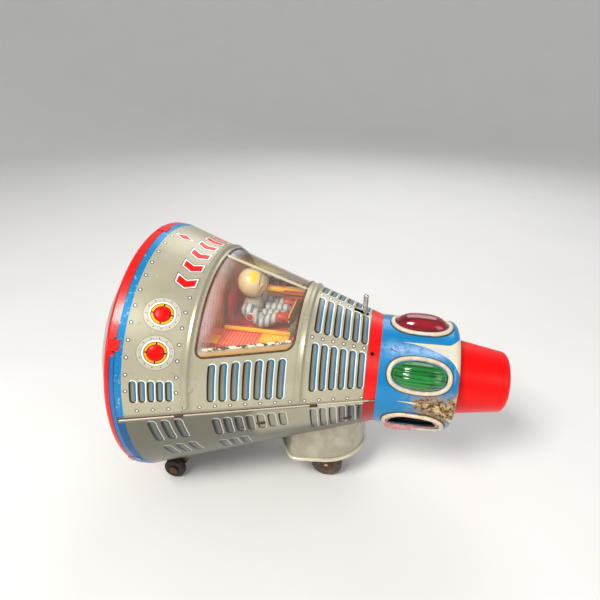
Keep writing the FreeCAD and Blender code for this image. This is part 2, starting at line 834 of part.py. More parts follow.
def battery_door():
    body = new_body("door_panel_body", turn=UNDER)
    strip = shell_strip("door_start + door_gap", "door_end - door_gap")
    turned(body, "door_panel", strip, angle="2 * door_half_angle - 0.8")
    pin = hinge_rod("hinge_pin_rod", "door_start + 2", "door_end - 2", "0.7")
    node(pin, "door_hinge_pin")
    bore = "0.7 + run_gap"
    moving = ("door_start + 13.2", "door_end - 13.2")
    tube = hinge_rod("door_knuckle", *moving, "hinge_radius")
    leaf = leaf_between("door_leaf", *moving, -1)
    hole = hinge_rod("door_bore", "door_start", "door_end", bore)
    knuckle = cut("door_knuckle_bored", fuse("door_hinge", tube, leaf), hole)
    node(fuse("battery_door", body, knuckle), "battery_door")
    fixed = []
    stops = (("door_start + 3", "door_start + 12.2"), ("door_end - 12.2", "door_end - 3"))
    for i, (start, end) in enumerate(stops):
        tube = hinge_rod(f"shell_tube_{i}", start, end, "hinge_radius")
        leaf = leaf_between(f"shell_leaf_{i}", start, end, 1)
        hole = hinge_rod(f"shell_bore_{i}", "door_start", "door_end", "0.7")
        fixed.append(cut(f"shell_hinge_{i}", fuse(f"shell_knuckle_{i}", tube, leaf), hole))
    node(group("door_hinge_leaves", *fixed), "door_hinge_leaves")


def leaf_between(name, start, end, side):
    """A curved strip from the hinge to the door (side -1) or to the shell (side 1)."""
    width = 4.5
    centre = value("door_half_angle")
    low, high = (centre - width, centre) if side < 0 else (centre, centre + width)
    body = new_body(name, turn=FreeCAD.Rotation(V(1, 0, 0), 180 + (low + high) / 2))
    turned(body, name + "_strip", shell_strip(start, end, "-0.7", "0"), angle=str(width))
    return body


# ---- drive unit ----------------------------------------------------------------------------------------


def fairing_block(name, grow, low, tall):
    """A block with the skirt's outline: round in front, with a blunt corner behind on each side."""
    radius = f"(fairing_radius + {grow})"
    lead = f"(flank_lead + 0.14 * {grow})"
    heel = f"(heel_half + 0.39 * {grow})"
    near_side = [
        (f"-sqrt({radius} ^ 2 - {heel} ^ 2)", heel),
        (f"-(corner_tail + 0.89 * {grow})", f"(corner_waist + 0.46 * {grow})"),
        (f"-(corner_lead - 0.14 * {grow})", f"(corner_half + 0.99 * {grow})"),
        (lead, f"sqrt({radius} ^ 2 - {lead} ^ 2)"),
    ]
    points = [(x, f"-1 * {y}") for x, y in near_side] + near_side[::-1]
    corner = (f"corner_round + {grow}", 1)
    arcs = {1: corner, 3: (radius, 1), 5: corner, 7: (radius, 1)}
    body = new_body(f"{name}_body", ("fairing_station", "0", low))
    padded(body, name, "XY_Plane", tall, lambda sketch: outline(sketch, points, arcs))
    return body


def drive_fairing():
    """The skirt under the belly, with a raised bead round its open edge."""
    wall = fairing_block("fairing_wall", "0", "fairing_bottom", "35")
    bead = fairing_block("fairing_bead", "bead_size", "fairing_bottom - bead_size", "2 * bead_size")
    room = fairing_block("fairing_room", "(-1 * tin - 0.1)", "fairing_bottom - 5", "45")
    skirt = cut("fairing_skirt", fuse("fairing_solid", wall, bead), room)
    node(cut("drive_fairing", skirt, cone_block("fairing_trim", "0", "40")), "drive_fairing")


def spur(body, name, teeth, width):
    """A spur gear along +Z from the body's origin, with one tooth on +X."""
    pitch = f"(module_size * {teeth} / 2)"
    root = f"({pitch} - 0.9 * module_size)"
    padded(body, name + "_disc", "XY_Plane", width, lambda s: circle(s, "0", "0", root))
    points = [
        (f"{root} - 0.25", "-0.5 * module_size"),
        (f"{pitch} + 0.7 * module_size", "-0.22 * module_size"),
        (f"{pitch} + 0.7 * module_size", "0.22 * module_size"),
        (f"{root} - 0.25", "0.5 * module_size"),
    ]
    tooth = padded(body, name + "_tooth", "XY_Plane", width, lambda s: outline(s, points))
    return repeated(body, tooth, teeth)


def gearbox():
    """The fixed plates, posts and motor, and the motor's own pinion."""
    station = "drive_station"
    motor_at = f"{station} - module_size * (spur_teeth + pinion_teeth) / 2"
    base_at = ("fairing_station", "0", "base_level")
    base = rod("base_disc", base_at, "fairing_radius - tin - 0.1", "plate")
    swivel = rod("base_hole", (station, "0", "base_level - 1"), "hub_radius + 0.1", "4")
    node(cut("drive_base_plate", base, swivel), "drive_base_plate")
    top = box("top_block", (f"{station} - 30", "-17", "upper_level"), ("45", "34", "plate"))
    under = "upper_level - 1"
    shaft_hole = rod("top_shaft_hole", (station, "0", under), "shaft_radius + run_gap", "4")
    motor_hole = rod("top_motor_hole", (motor_at, "0", under), "4", "4")
    node(cut("drive_top_plate", top, shaft_hole, motor_hole), "drive_top_plate")
    posts = []
    screws = []
    post_tall = "upper_level - base_level - plate"
    for i, (x, y) in enumerate(((-22, -13), (-22, 13), (11, -13), (11, 13))):
        at = (f"{station} + {x}", str(y))
        posts.append(rod(f"post_{i}", (*at, "base_level + plate"), "post_radius", post_tall))
        screws.append(rod(f"screw_{i}", (*at, "upper_level + plate"), "screw_radius", "1.4"))
        screws.append(rod(f"screw_low_{i}", (*at, "base_level - 1.2"), "screw_radius", "1.2"))
    node(group("gearbox_posts", *posts), "gearbox_posts")
    node(group("gearbox_screws", *screws), "gearbox_screws")
    can = rod("motor_can", (motor_at, "0", "upper_level + plate"), "motor_radius", "motor_length")
    boss = rod("motor_boss", (motor_at, "0", under), "3.9", "2")
    bore = rod("motor_bore", (motor_at, "0", "upper_level - 2"), "1 + run_gap", "motor_length")
    node(cut("drive_motor", fuse("motor_solid", can, boss), bore), "drive_motor")
    pinion = new_body("motor_pinion_body", (motor_at, "0", "upper_level - 17"))
    spur(pinion, "motor_pinion_gear", "pinion_teeth", "gear_width + 1")
    rotor = rod("rotor_shaft", (motor_at, "0", "upper_level - 18"), "1", "40")
    node(fuse("motor_pinion", pinion, rotor), "motor_pinion")


def about_z(angle):
    return FreeCAD.Rotation(V(0, 0, 1), angle)


def drive_shaft():
    """The upright shaft on the swivel's axis, with a spur gear above and a pinion below."""
    station = "drive_station"
    mesh_turn = 180 + 180 / SIZES["spur_teeth"]
    wheel = new_body("spur_gear_body", (station, "0", "upper_level - 16.5"), about_z(mesh_turn))
    spur(wheel, "spur_gear_teeth", "spur_teeth", "gear_width")
    bore = rod("spur_bore", (station, "0", "upper_level - 20"), "shaft_radius", "20")
    node(cut("spur_gear", wheel, bore), "spur_gear")
    low = "wheel_radius - axis_height + module_size * crown_teeth / 2 - 2.6"
    tall = f"upper_level + plate + 2 - ({low})"
    node(rod("drive_shaft", (station, "0", low), "shaft_radius", tall), "drive_shaft")
    half_tooth = 180 / SIZES["pinion_teeth"]
    pinion = new_body("shaft_pinion_body", (station, "0", low), about_z(half_tooth))
    spur(pinion, "shaft_pinion_gear", "pinion_teeth", "4.6")
    sleeve = rod("pinion_bore", (station, "0", f"{low} - 1"), "shaft_radius", "8")
    node(cut("shaft_pinion", pinion, sleeve), "shaft_pinion")


def turntable():
    """The disc that swivels under the base plate, with a yoke for the wheels' axle."""
    station = "drive_station"
    axle = "wheel_radius - axis_height"
    disc_at = (station, "0", "base_level - 3")
    disc = rod("table_disc", disc_at, "table_radius", "1")
    hub = rod("table_hub", disc_at, "hub_radius", "plate + 3.4")
    bore = rod("table_bore", (station, "0", "base_level - 10"), "shaft_radius + run_gap", "20")
    arms = []
    for side, low in (("near", "-yoke_offset - 1"), ("far", "yoke_offset")):
        arm_tall = f"base_level - 2.5 - ({axle})"
        arms.append(box(f"arm_{side}", (f"{station} - 5", low, axle), ("10", "1", arm_tall)))
        arms.append(rod(f"arm_end_{side}", (station, low, axle), "5", "1", ALONG_Y))
    axle_hole = rod("arm_bore", (station, "-20", axle), "shaft_radius + run_gap", "40", ALONG_Y)
    node(cut("turntable", fuse("table_solid", disc, hub, *arms), bore, axle_hole), "turntable")
    ring = rod("collar_ring", (station, "0", "base_level + plate + 0.4"), "6.4", "1")
    hole = rod("collar_hole", (station, "0", "base_level - 1"), "shaft_radius + run_gap", "8")
    node(cut("turntable_collar", ring, hole), "turntable_collar")


def drive_wheels():
    """The axle, its two rubber wheels and a crown gear whose teeth end just clear of the pinion."""
    station = "drive_station"
    axle = "wheel_radius - axis_height"
    axle_end = "(wheel_offset + wheel_width / 2 + 0.8)"
    axle_at = (station, f"-{axle_end}", axle)
    node(rod("drive_axle", axle_at, "shaft_radius", f"2 * {axle_end}", ALONG_Y), "drive_axle")
    pitch = "(module_size * crown_teeth / 2)"
    gap = "(module_size * pinion_teeth / 2)"
    crown = new_body("crown_body", (station, f"{gap} + 0.95", axle), ALONG_Y)
    padded(crown, "crown_disc", "XY_Plane", "1.8", lambda s: circle(s, "0", "0", f"{pitch} + 0.9"))
    block = [
        ("-0.3", f"{pitch} - 0.85"),
        ("0.3", f"{pitch} - 0.85"),
        ("0.3", f"{pitch} + 0.85"),
        ("-0.3", f"{pitch} + 0.85"),
    ]
    tooth = padded(crown, "crown_tooth", "XY_Plane", "0.8", lambda s: outline(s, block), offset="-0.38")
    repeated(crown, tooth, "crown_teeth")
    bore = rod("crown_bore", (station, "-5", axle), "shaft_radius", "15", ALONG_Y)
    node(cut("crown_gear", crown, bore), "crown_gear")
    for side, sign in (("near", -1), ("far", 1)):
        at = f"{sign} * wheel_offset - wheel_width / 2"
        name = f"drive_wheel_{side}"
        disc = rod(f"{name}_disc", (station, at, axle), "wheel_radius", "wheel_width", ALONG_Y)
        hole_at = (station, f"{at} - 1", axle)
        hole = rod(f"{name}_bore", hole_at, "shaft_radius", "wheel_width + 2", ALONG_Y)
        node(cut(name, disc, hole), name)


# ---- rear wheels -----------------------------------------------------------------------------------------


def rear_wheels():
    """Two rollers on pins, each held by a three-cornered tin bracket riveted to the lower shell."""
    axle = "rear_radius - axis_height"
    hull = cone_block("bracket_trim", "0")
    band = cut("foot_band", cone_block("foot_outer", "-0.8"), cone_block("foot_inner", "0"))
    half = "(rear_width / 2)"
    pins = []
    rivets = []
    for side, sign in (("near", -1), ("far", 1)):
        body = new_body(f"bracket_plate_{side}", ("0", f"{sign} * (rear_offset - {half} - 0.5)", "0"))
        points = [
            ("rear_station - 3.6", f"{axle} - 0.4"),
            ("rear_station", f"{axle} - 4"),
            ("rear_station + 3.4", f"{axle} - 2.2"),
            ("41", f"-1 * {skin('41', '22')}"),
            ("24", f"-1 * {skin('24', '22')}"),
        ]
        role = "XZ_Plane"
        padded(body, f"bracket_pad_{side}", role, "0.9", lambda s: outline(s, points), midplane=True)
        near = sign < 0
        foot_low = f"-rear_offset + {half} + 0.05" if near else f"rear_offset - {half} - 8.95"
        foot_box = box(f"foot_box_{side}", ("25", foot_low, "-86"), ("15", "8.9", "60"))
        foot = common(f"foot_{side}", band, foot_box)
        plate = cut(f"bracket_flat_{side}", body, hull)
        inside = ("rear_station", f"{sign} * rear_offset - 10", axle)
        hole = rod(f"bracket_hole_{side}", inside, "rear_pin", "20", ALONG_Y)
        whole = fuse(f"bracket_whole_{side}", plate, foot)
        node(cut(f"rear_bracket_{side}", whole, hole), f"rear_bracket_{side}")
        disc_at = ("rear_station", f"{sign} * rear_offset - {half}", axle)
        wheel = rod(f"rear_disc_{side}", disc_at, "rear_radius", "rear_width", ALONG_Y)
        bore = rod(f"rear_bore_{side}", inside, "rear_pin + run_gap", "20", ALONG_Y)
        node(cut(f"rear_wheel_{side}", wheel, bore), f"rear_wheel_{side}")
        stem_low = f"-rear_offset - {half} - 0.6" if near else f"rear_offset - {half} - 1.6"
        stem_at = ("rear_station", stem_low, axle)
        stem = rod(f"pin_stem_{side}", stem_at, "rear_pin", "rear_width + 2.2", ALONG_Y)
        head_low = f"-rear_offset - {half} - 1.4" if near else f"rear_offset + {half} + 0.4"
        head = rod(f"pin_head_{side}", ("rear_station", head_low, axle), "3", "1", ALONG_Y)
        pins.append(fuse(f"pin_{side}", stem, head))
        across = "(rear_offset - 7.6)"
        for i, at in enumerate(("28.5", "36.5")):
            level = f"-sqrt({skin(at)} ^ 2 - {across} ^ 2)"
            rivets.append(ball(f"rivet_{side}_{i}", (at, f"{sign} * {across}", f"{level} - 0.6"), "1.5"))
    node(group("rear_axle_pins", *pins), "rear_axle_pins")
    outside = cut("rivet_heads", fuse("rivet_balls", *rivets), cone_block("rivet_trim", "-0.8"))
    node(outside, "bracket_rivets")


# ---- build, check and write -------------------------------------------------------------------------------


def build():
    fill_sheet()
    upper_shell()
    lower_shell()
    rim_ring()
    heat_shield()
    canopy()
    cockpit()
    crew()
    lens_housing()
    colours = ("red", "green") * 3
    places = ("top", "near", "low_near", "bottom", "low_far", "far")
    for i, (colour, where) in enumerate(zip(colours, places)):
        name = f"lens_{colour}_{where}"
        turn = LENS_STEP * i
        if where == "low_near":
            node(broken(lens_at(f"{name}_whole", turn), name, turn), name)
        else:
            node(lens_at(name, turn), name)
    nose_cone()
    lamp()
    switch()
    battery_box()
    battery_door()
    drive_fairing()
    gearbox()
    drive_shaft()
    turntable()
    drive_wheels()
    rear_wheels()
    doc.recompute()


def check():
    """Stops if any object failed or any sub-part has no sound shape."""
    for thing in doc.Objects:
        if "Invalid" in thing.State or "Error" in thing.State:
            raise RuntimeError(f"{thing.Name} failed: {thing.State}")
    for thing in NODES:
        shape = thing.Shape
        if shape.isNull() or not shape.isValid() or not shape.Solids:
            raise RuntimeError(f"{thing.Label} has no valid solid")


def write():
    os.makedirs("parts", exist_ok=True)
    for old in os.listdir("parts"):
        os.remove(os.path.join("parts", old))
    for thing in NODES:
        thing.Shape.exportStep(f"parts/{thing.Label}.step")
        size = thing.Shape.BoundBox
        print(f"{thing.Label}: {len(thing.Shape.Solids)} solids, z {size.ZMin:.1f} to {size.ZMax:.1f}")
    print(len(NODES), "nodes")


build()
check()
write()
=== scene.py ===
"""Looks of the tin space capsule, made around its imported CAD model.

Blender works in metres. Most sizes below are in millimetres, in the capsule's own frame: a station is
the distance along the axis from the rear plane of the rim, and an angle is measured about the axis
from the crest, positive towards the near side (-Y).
"""

import math
import random

import bpy
from mathutils import Matrix, Vector


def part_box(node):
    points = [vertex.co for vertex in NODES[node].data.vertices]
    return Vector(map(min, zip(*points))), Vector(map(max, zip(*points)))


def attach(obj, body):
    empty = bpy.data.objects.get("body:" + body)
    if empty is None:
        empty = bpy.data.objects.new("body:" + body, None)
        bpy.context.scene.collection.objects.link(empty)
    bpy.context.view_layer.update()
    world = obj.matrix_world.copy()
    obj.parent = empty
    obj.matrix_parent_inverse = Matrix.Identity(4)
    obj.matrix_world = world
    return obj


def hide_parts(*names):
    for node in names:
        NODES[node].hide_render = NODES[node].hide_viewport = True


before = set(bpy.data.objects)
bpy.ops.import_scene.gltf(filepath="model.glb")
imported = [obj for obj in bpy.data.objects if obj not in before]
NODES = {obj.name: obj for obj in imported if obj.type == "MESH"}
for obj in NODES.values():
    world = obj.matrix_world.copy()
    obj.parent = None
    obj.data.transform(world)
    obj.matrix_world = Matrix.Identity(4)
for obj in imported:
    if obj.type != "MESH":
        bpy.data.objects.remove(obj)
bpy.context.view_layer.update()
MM = 0.001
SIDES = ((1, "near"), (-1, "far"))

# The capsule's own frame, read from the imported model.
SHIELD_LOW, SHIELD_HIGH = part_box("heat_shield")
RIM_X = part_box("rim_ring")[0].x
AXIS_Z = (SHIELD_LOW.z + SHIELD_HIGH.z) / 2

# The cone of the shells, and where its bands, seam, window and pressed details lie.
CONE_RADIUS = 91.4
CONE_SLOPE = 0.345
BLUE_BAND_END = 11.6
RED_BAND_START = 149.8
SEAM = 90.0
WINDOW_START, WINDOW_END = 50.0, 105.0
WINDOW_LOW = 33.8
WINDOW_CORNER = 5.0
REAR_RIB, FRONT_RIB = 46.0, 110.4
ROUNDEL_STATION = 28.85
ROUNDEL_MIDDLE, ROUNDEL_GAP = 53.4, 8.15
SHELL_TABS = (
    ("seam_tab_rear", 41.4, 91.0),
    ("seam_tab_front", 119.6, 91.6),
    ("shell_tab_rear", 87.9, 102.4),
    ("shell_tab_front", 140.8, 112.0),
)

# The drum and its lenses.
DRUM_RADIUS = 37.3
LENS_STATION = 182.6
LENS_LONG, LENS_WIDE = 17.2, 9.1
LENS_ROOM = 0.2
LENS_RISE = 7.4
LENS_SUNK = 0.5
LENS_STEP = 60.0
OVAL_POWER = 2.4
# How many ribs lie over a lens of each colour, and how deep they are.
LENS_RIBS = {"lens_red": (7, 0.1), "lens_green": (9, 0.34)}


def skin(station):
    """The cone's outer radius at a station."""
    return CONE_RADIUS - CONE_SLOPE * station


def spot(station, angle, radius):
    """The point in the row frame at a station, an angle from the crest and a radius."""
    turn = math.radians(angle)
    across, up = -radius * math.sin(turn) * MM, radius * math.cos(turn) * MM
    return Vector((RIM_X + station * MM, across, AXIS_Z + up))


def spread(start, end, steps):
    """Evenly spaced numbers from start to end, with both ends."""
    return [start + (end - start) * i / steps for i in range(steps + 1)]


def full_turn(count):
    """The directions of count points spaced evenly round a circle."""
    return [2 * math.pi * k / count for k in range(count)]


def helmet_ball():
    """The middle of the figure's round helmet, and its radius in millimetres."""
    low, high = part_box("astronaut_helmet")
    radius = (high.y - low.y) / 2 / MM
    return Vector(((low.x + high.x) / 2, (low.y + high.y) / 2, high.z - radius * MM)), radius


def srgb(red, green, blue):
    """A colour given on the usual 0 to 255 scale, as Blender's linear colour."""
    levels = [c / 255 for c in (red, green, blue)]
    return tuple(c / 12.92 if c <= 0.04045 else ((c + 0.055) / 1.055) ** 2.4 for c in levels) + (1.0,)


# ---- shader arithmetic ----


def joined_by(operation, swapped=False):
    """A method that joins a term and another value by one of the shader's own operations."""

    def method(term, other):
        return term.paint.math(operation, *((other, term) if swapped else (term, other)))

    return method


class Term:
    """A number that varies over a surface, as a shader node's output with plain arithmetic."""

    __add__ = __radd__ = joined_by("ADD")
    __sub__ = joined_by("SUBTRACT")
    __rsub__ = joined_by("SUBTRACT", swapped=True)
    __mul__ = __rmul__ = joined_by("MULTIPLY")
    __truediv__ = joined_by("DIVIDE")
    low = joined_by("MINIMUM")
    high = joined_by("MAXIMUM")

    def __init__(self, paint, socket):
        self.paint = paint
        self.socket = socket

    def __abs__(self):
        return self.paint.math("ABSOLUTE", self)

    def nearest_whole(self):
        return self.paint.math("ROUND", self)

    def above(self, edge, soft=0.05):
        """0 below the edge and 1 above it, over a soft step."""
        return self.paint.step(self - edge, soft)

    def below(self, edge, soft=0.05):
        return self.paint.step(edge - self, soft)

    def within(self, low, high, soft=0.05):
        return self.above(low, soft) * self.below(high, soft)


def length(across, along):
    """The length of a line with two parts at right angles."""
    return across.paint.math("SQRT", across * across + along * along)


class Paint:
    """A material built from shader nodes, with the colour that has been laid on so far."""

    def __init__(self, name, **settings):
        self.material = bpy.data.materials.new(name)
        self.material.use_nodes = True
        self.tree = self.material.node_tree
        self.shader = self.tree.nodes["Principled BSDF"]
        self.coordinates = self.node("ShaderNodeTexCoord").outputs["Object"]
        self.colour = None
        for setting, value in settings.items():
            self.set(setting.replace("_", " ").title().replace("Ior", "IOR"), value)

    def node(self, kind, **settings):
        made = self.tree.nodes.new(kind)
        for key, value in settings.items():
            setattr(made, key, value)
        return made

    def feed(self, socket, value):
        """Links a node's output to a socket, or sets the socket's own value."""
        if isinstance(value, Term):
            value = value.socket
        if isinstance(value, bpy.types.NodeSocket):
            self.tree.links.new(value, socket)
        else:
            socket.default_value = value

    def set(self, name, value):
        self.feed(self.shader.inputs[name], value)

    def math(self, operation, *values, **settings):
        made = self.node("ShaderNodeMath", operation=operation, **settings)
        for socket, value in zip(made.inputs, values):
            self.feed(socket, value)
        return Term(self, made.outputs[0])

    def step(self, value, soft):
        """0 where the value is negative and 1 where it is positive, over a soft step."""
        return self.math("MULTIPLY_ADD", value, 0.5 / soft, 0.5, use_clamp=True)

    def mix(self, share, under, over):
        """The colour under, covered by the colour over where share is 1. A plain colour is a tuple."""
        made = self.node("ShaderNodeMix", data_type="RGBA", clamp_factor=True)
        under, over = (srgb(*c) if isinstance(c, tuple) else c for c in (under, over))
        for index, value in ((0, share), (6, under), (7, over)):
            self.feed(made.inputs[index], value)
        return made.outputs[2]

    def cover(self, share, over):
        """Lays one more colour over what is there, where share is 1."""
        self.colour = self.mix(share, self.colour, over)

    def place(self):
        """The three object coordinates, in metres."""
        split = self.node("ShaderNodeSeparateXYZ")
        self.feed(split.inputs[0], self.coordinates)
        return [Term(self, s) for s in split.outputs]

    def noise(self, size, detail=3.0, roughness=0.6, stretch=None):
        """Noise with features of about size millimetres, from 0 to 1."""
        made = self.node("ShaderNodeTexNoise")
        source = self.coordinates
        if stretch:
            mapping = self.node("ShaderNodeMapping")
            mapping.inputs["Scale"].default_value = stretch
            self.feed(mapping.inputs["Vector"], source)
            source = mapping.outputs[0]
        values = {"Scale": 1 / (size * MM), "Detail": detail, "Roughness": roughness, "Vector": source}
        for name, value in values.items():
            self.feed(made.inputs[name], value)
        return Term(self, made.outputs[0])

    def finish(self, roughness, height, depth, strength):
        """Sets the colour, the roughness and a bump whose height of 1 stands for depth millimetres."""
        self.set("Base Color", self.colour)
        self.set("Roughness", roughness)
        made = self.node("ShaderNodeBump")
        for name, value in (("Strength", strength), ("Distance", depth * MM), ("Height", height)):
            self.feed(made.inputs[name], value)
        self.set("Normal", made.outputs[0])
        return self.material


class Surface:
    """Where a point of a material lies in the capsule's frame."""

    def __init__(self, paint):
        x, y, z = paint.place()
        self.station = (x - RIM_X) * (1 / MM)
        self.side = y * (-1 / MM)
        self.level = (z - AXIS_Z) * (1 / MM)
        self.angle = paint.math("ARCTAN2", self.side, self.level) * math.degrees(1)
        self.fold = abs(self.angle)
        self.arc = length(self.side, self.level) * math.radians(1)


# ---- lithography on the tin ----

# Colours on the usual 0 to 255 scale. The colours under "other materials" are given the same way.
TIN = (162, 156, 131)
TIN_DARK = (112, 105, 86)
TIN_PALE = (198, 193, 170)
INK = (22, 18, 17)
WHITE = (246, 246, 236)
RED = (240, 6, 0)
BLUE = (0, 128, 186)
YELLOW = (240, 176, 16)
RUST = (104, 62, 30)
RUST_DARK = (52, 32, 20)
CREAM = (226, 216, 186)


def off_mark(run, step, count):
    """How far a place lies from the nearest of count marks, which start at 0 and are step apart."""
    index = (run / step).nearest_whole().high(0.0).low(count - 1.0)
    return run - index * step


def vent_row(surface, first, pitch, count, top, bottom, half_width, lean=0.0):
    """One row of long rounded vents, from the first one's station and the angles of their ends: the
    distance from their outline, and how far a point lies towards the lit edge and across the vent."""
    down = surface.fold - (top + bottom) * 0.5
    across = off_mark(surface.station - first - down * lean, pitch, count)
    reach = down * surface.arc
    half = (bottom - top) * surface.arc * 0.5 - half_width
    beyond = reach - reach.low(half).high(half * -1.0)
    return length(across, beyond) - half_width, across - beyond * 0.8, across


def nearest_vents(surface, rows):
    """The values of whichever row's vents are nearest."""
    best, *others = [vent_row(surface, *row) for row in rows]
    for row in others:
        nearer = row[0].below(best[0], 0.001)
        best = (row[0].low(best[0]),) + tuple(b + (r - b) * nearer for r, b in zip(row[1:], best[1:]))
    return best


def rivet_distance(surface):
    """The distance from the nearest printed rivet of the upper shell."""
    station, fold, arc = surface.station, surface.fold, surface.arc
    # Each ring is (station, first angle, step, count), and each line (angle, first station, step, count).
    rings = ((13.65, 3.4, 6.76, 12), (41.0, 35.4, 7.25, 7))
    lines = ((86.8, 19.0, 8.65, 16), (41.2, 115.0, 6.45, 6), (0.6, 115.0, 6.45, 4))
    rows = [length(station - at, off_mark(fold - first, *row) * arc) for at, first, *row in rings]
    rows += [length(off_mark(station - first, *row), (fold - at) * arc) for at, first, *row in lines]
    best, *others = rows
    for row in others:
        best = best.low(row)
    return best


def print_roundels(paint, surface):
    """Two round lamps printed one above the other behind the cockpit, on each side."""
    run = surface.station - ROUNDEL_STATION
    turn = (abs(surface.fold - ROUNDEL_MIDDLE) - ROUNDEL_GAP) * surface.arc
    distance = length(run, turn)
    breaks = abs(run).low(abs(turn)).below(0.42)
    ticks = paint.math("SINE", paint.math("ARCTAN2", turn, run) * 12.0).above(0.93, 0.05)
    paint.cover(distance.below(10.5), (150, 146, 128))
    paint.cover(distance.below(10.1), (196, 192, 172))
    paint.cover(distance.within(8.5, 9.1, 0.08) * ticks, INK)
    for radius, colour in ((7.9, (120, 116, 100)), (7.6, WHITE), (6.5, INK), (6.1, YELLOW)):
        paint.cover(distance.below(radius), colour)
    paint.cover(distance.within(4.7, 6.3) * breaks, INK)
    paint.cover(distance.below(4.9), INK)


def print_chevrons(paint, surface):
    """A row of outlined chevrons over the crest, and a diamond behind it."""
    step, count = 9.4, 3.0
    index = (surface.angle / step).nearest_whole().high(-count).low(count)
    across = (surface.angle - index * step) * surface.arc
    run = abs(surface.station - 36.2)
    arrow = (abs(across + run * 0.5 - 1.6) - 2.5).high(run - 5.4)
    diamond = abs(surface.station - 20.4) * 0.62 + abs(surface.angle) * surface.arc - 3.1
    shape = arrow.low(diamond)
    for edge, colour in ((1.35, INK), (0.95, WHITE), (0.0, RED)):
        paint.cover(shape.below(edge, 0.08), colour)


def tin_paint(name):
    """Aged gray-cream tin under a satin lacquer: faint clouds, thin scratches and small stains."""
    paint = Paint(name, metallic=0.28, specular_ior_level=0.35, coat_weight=0.22, coat_roughness=0.16)
    clouds = paint.noise(34.0, 2.0)
    paint.colour = paint.mix(clouds.within(0.35, 0.75, 0.25) * 0.5, TIN, TIN_PALE)
    paint.cover(paint.noise(7.0, 5.0, 0.75).above(0.66, 0.06) * 0.35, TIN_DARK)
    paint.cover(paint.noise(1.4, 2.0, 0.5, stretch=(0.12, 1.0, 1.0)).above(0.74, 0.04) * 0.35, WHITE)
    return paint


def tin_finish(paint):
    """The gloss and shallow dents of the lacquered tin."""
    gloss = paint.noise(12.0, 3.0) * 0.16 + 0.28
    dents = paint.noise(26.0, 1.0) * 0.8 + paint.noise(2.2, 2.0) * 0.06
    return paint.finish(gloss, dents, 0.9, 0.35)


def rust_specks(paint, share, size=1.6):
    """Small rust specks whose number follows share, from 0 to 1."""
    specks = paint.noise(size, 4.0, 0.7) + share * 0.34
    paint.cover(specks.above(0.86, 0.03) * 0.75, RUST)
    paint.cover(specks.above(0.95, 0.03), RUST_DARK)


def upper_tin():
    """The upper shell's printing: vents, roundels, rivets, chevrons and the bands at both ends."""
    paint = tin_paint("litho_upper_shell")
    surface = Surface(paint)
    station, fold = surface.station, surface.fold
    window_top = 65.0 - (station - 59.2) * 0.162
    front_bottom = 79.6 - (station - 117.0) * 0.07
    distance, lit, across = nearest_vents(surface, (
        (17.5, 4.86, 5, 73.6, 82.9, 1.75),
        (59.9, 6.6, 7, window_top, 84.2, 2.0),
        (117.0, 5.9, 6, 4.1, 37.4, 1.85, 0.03),
        (117.9, 5.75, 6, 45.3, front_bottom, 1.85, 0.02),
    ))
    paint.cover(distance.within(-0.1, 0.75) * lit.above(0.2, 0.3), WHITE)
    inside = paint.mix(across.within(-0.5, 1.0, 0.6), (104, 100, 84), (140, 134, 114))
    paint.cover(distance.below(0.0), inside)
    paint.cover(distance.within(-1.15, -0.3) * lit.above(0.5, 0.3), BLUE)
    paint.cover(distance.within(-0.3, 0.1) * lit.above(0.5, 0.3), (40, 62, 84))
    paint.cover(distance.within(-0.75, 0.22) * lit.below(0.0, 0.3), INK)
    print_roundels(paint, surface)
    rivet = rivet_distance(surface)
    paint.cover(rivet.below(1.15), INK)
    paint.cover(rivet.below(0.68), WHITE)
    print_chevrons(paint, surface)
    # Darker in a band along each of the two ribs.
    near_ribs = abs(station - REAR_RIB).low(abs(station - FRONT_RIB)).below(3.4, 0.9)
    paint.cover(near_ribs * 0.18, TIN_DARK)
    paint.cover(station.below(BLUE_BAND_END), BLUE)
    chips = paint.noise(2.6, 4.0).above(0.63, 0.04)
    paint.cover(station.below(BLUE_BAND_END + 0.5, 0.3) * chips * 0.6, TIN_PALE)
    paint.cover(station.above(RED_BAND_START), RED)
    paint.cover(station.within(RED_BAND_START - 0.35, RED_BAND_START), (96, 60, 44))
    seam_dirt = fold.above(SEAM - 1.2, 0.6)
    paint.cover(seam_dirt * 0.5, RUST)
    rust_specks(paint, seam_dirt * 0.6 + station.above(155.6, 0.8) * 0.5)
    # Painted shade: a black dot stands for the dark inside of a small hole.
    hole = length(station - 152.6, (fold - 45.0) * surface.arc)
    paint.cover(hole.below(1.3), INK)
    return tin_finish(paint)


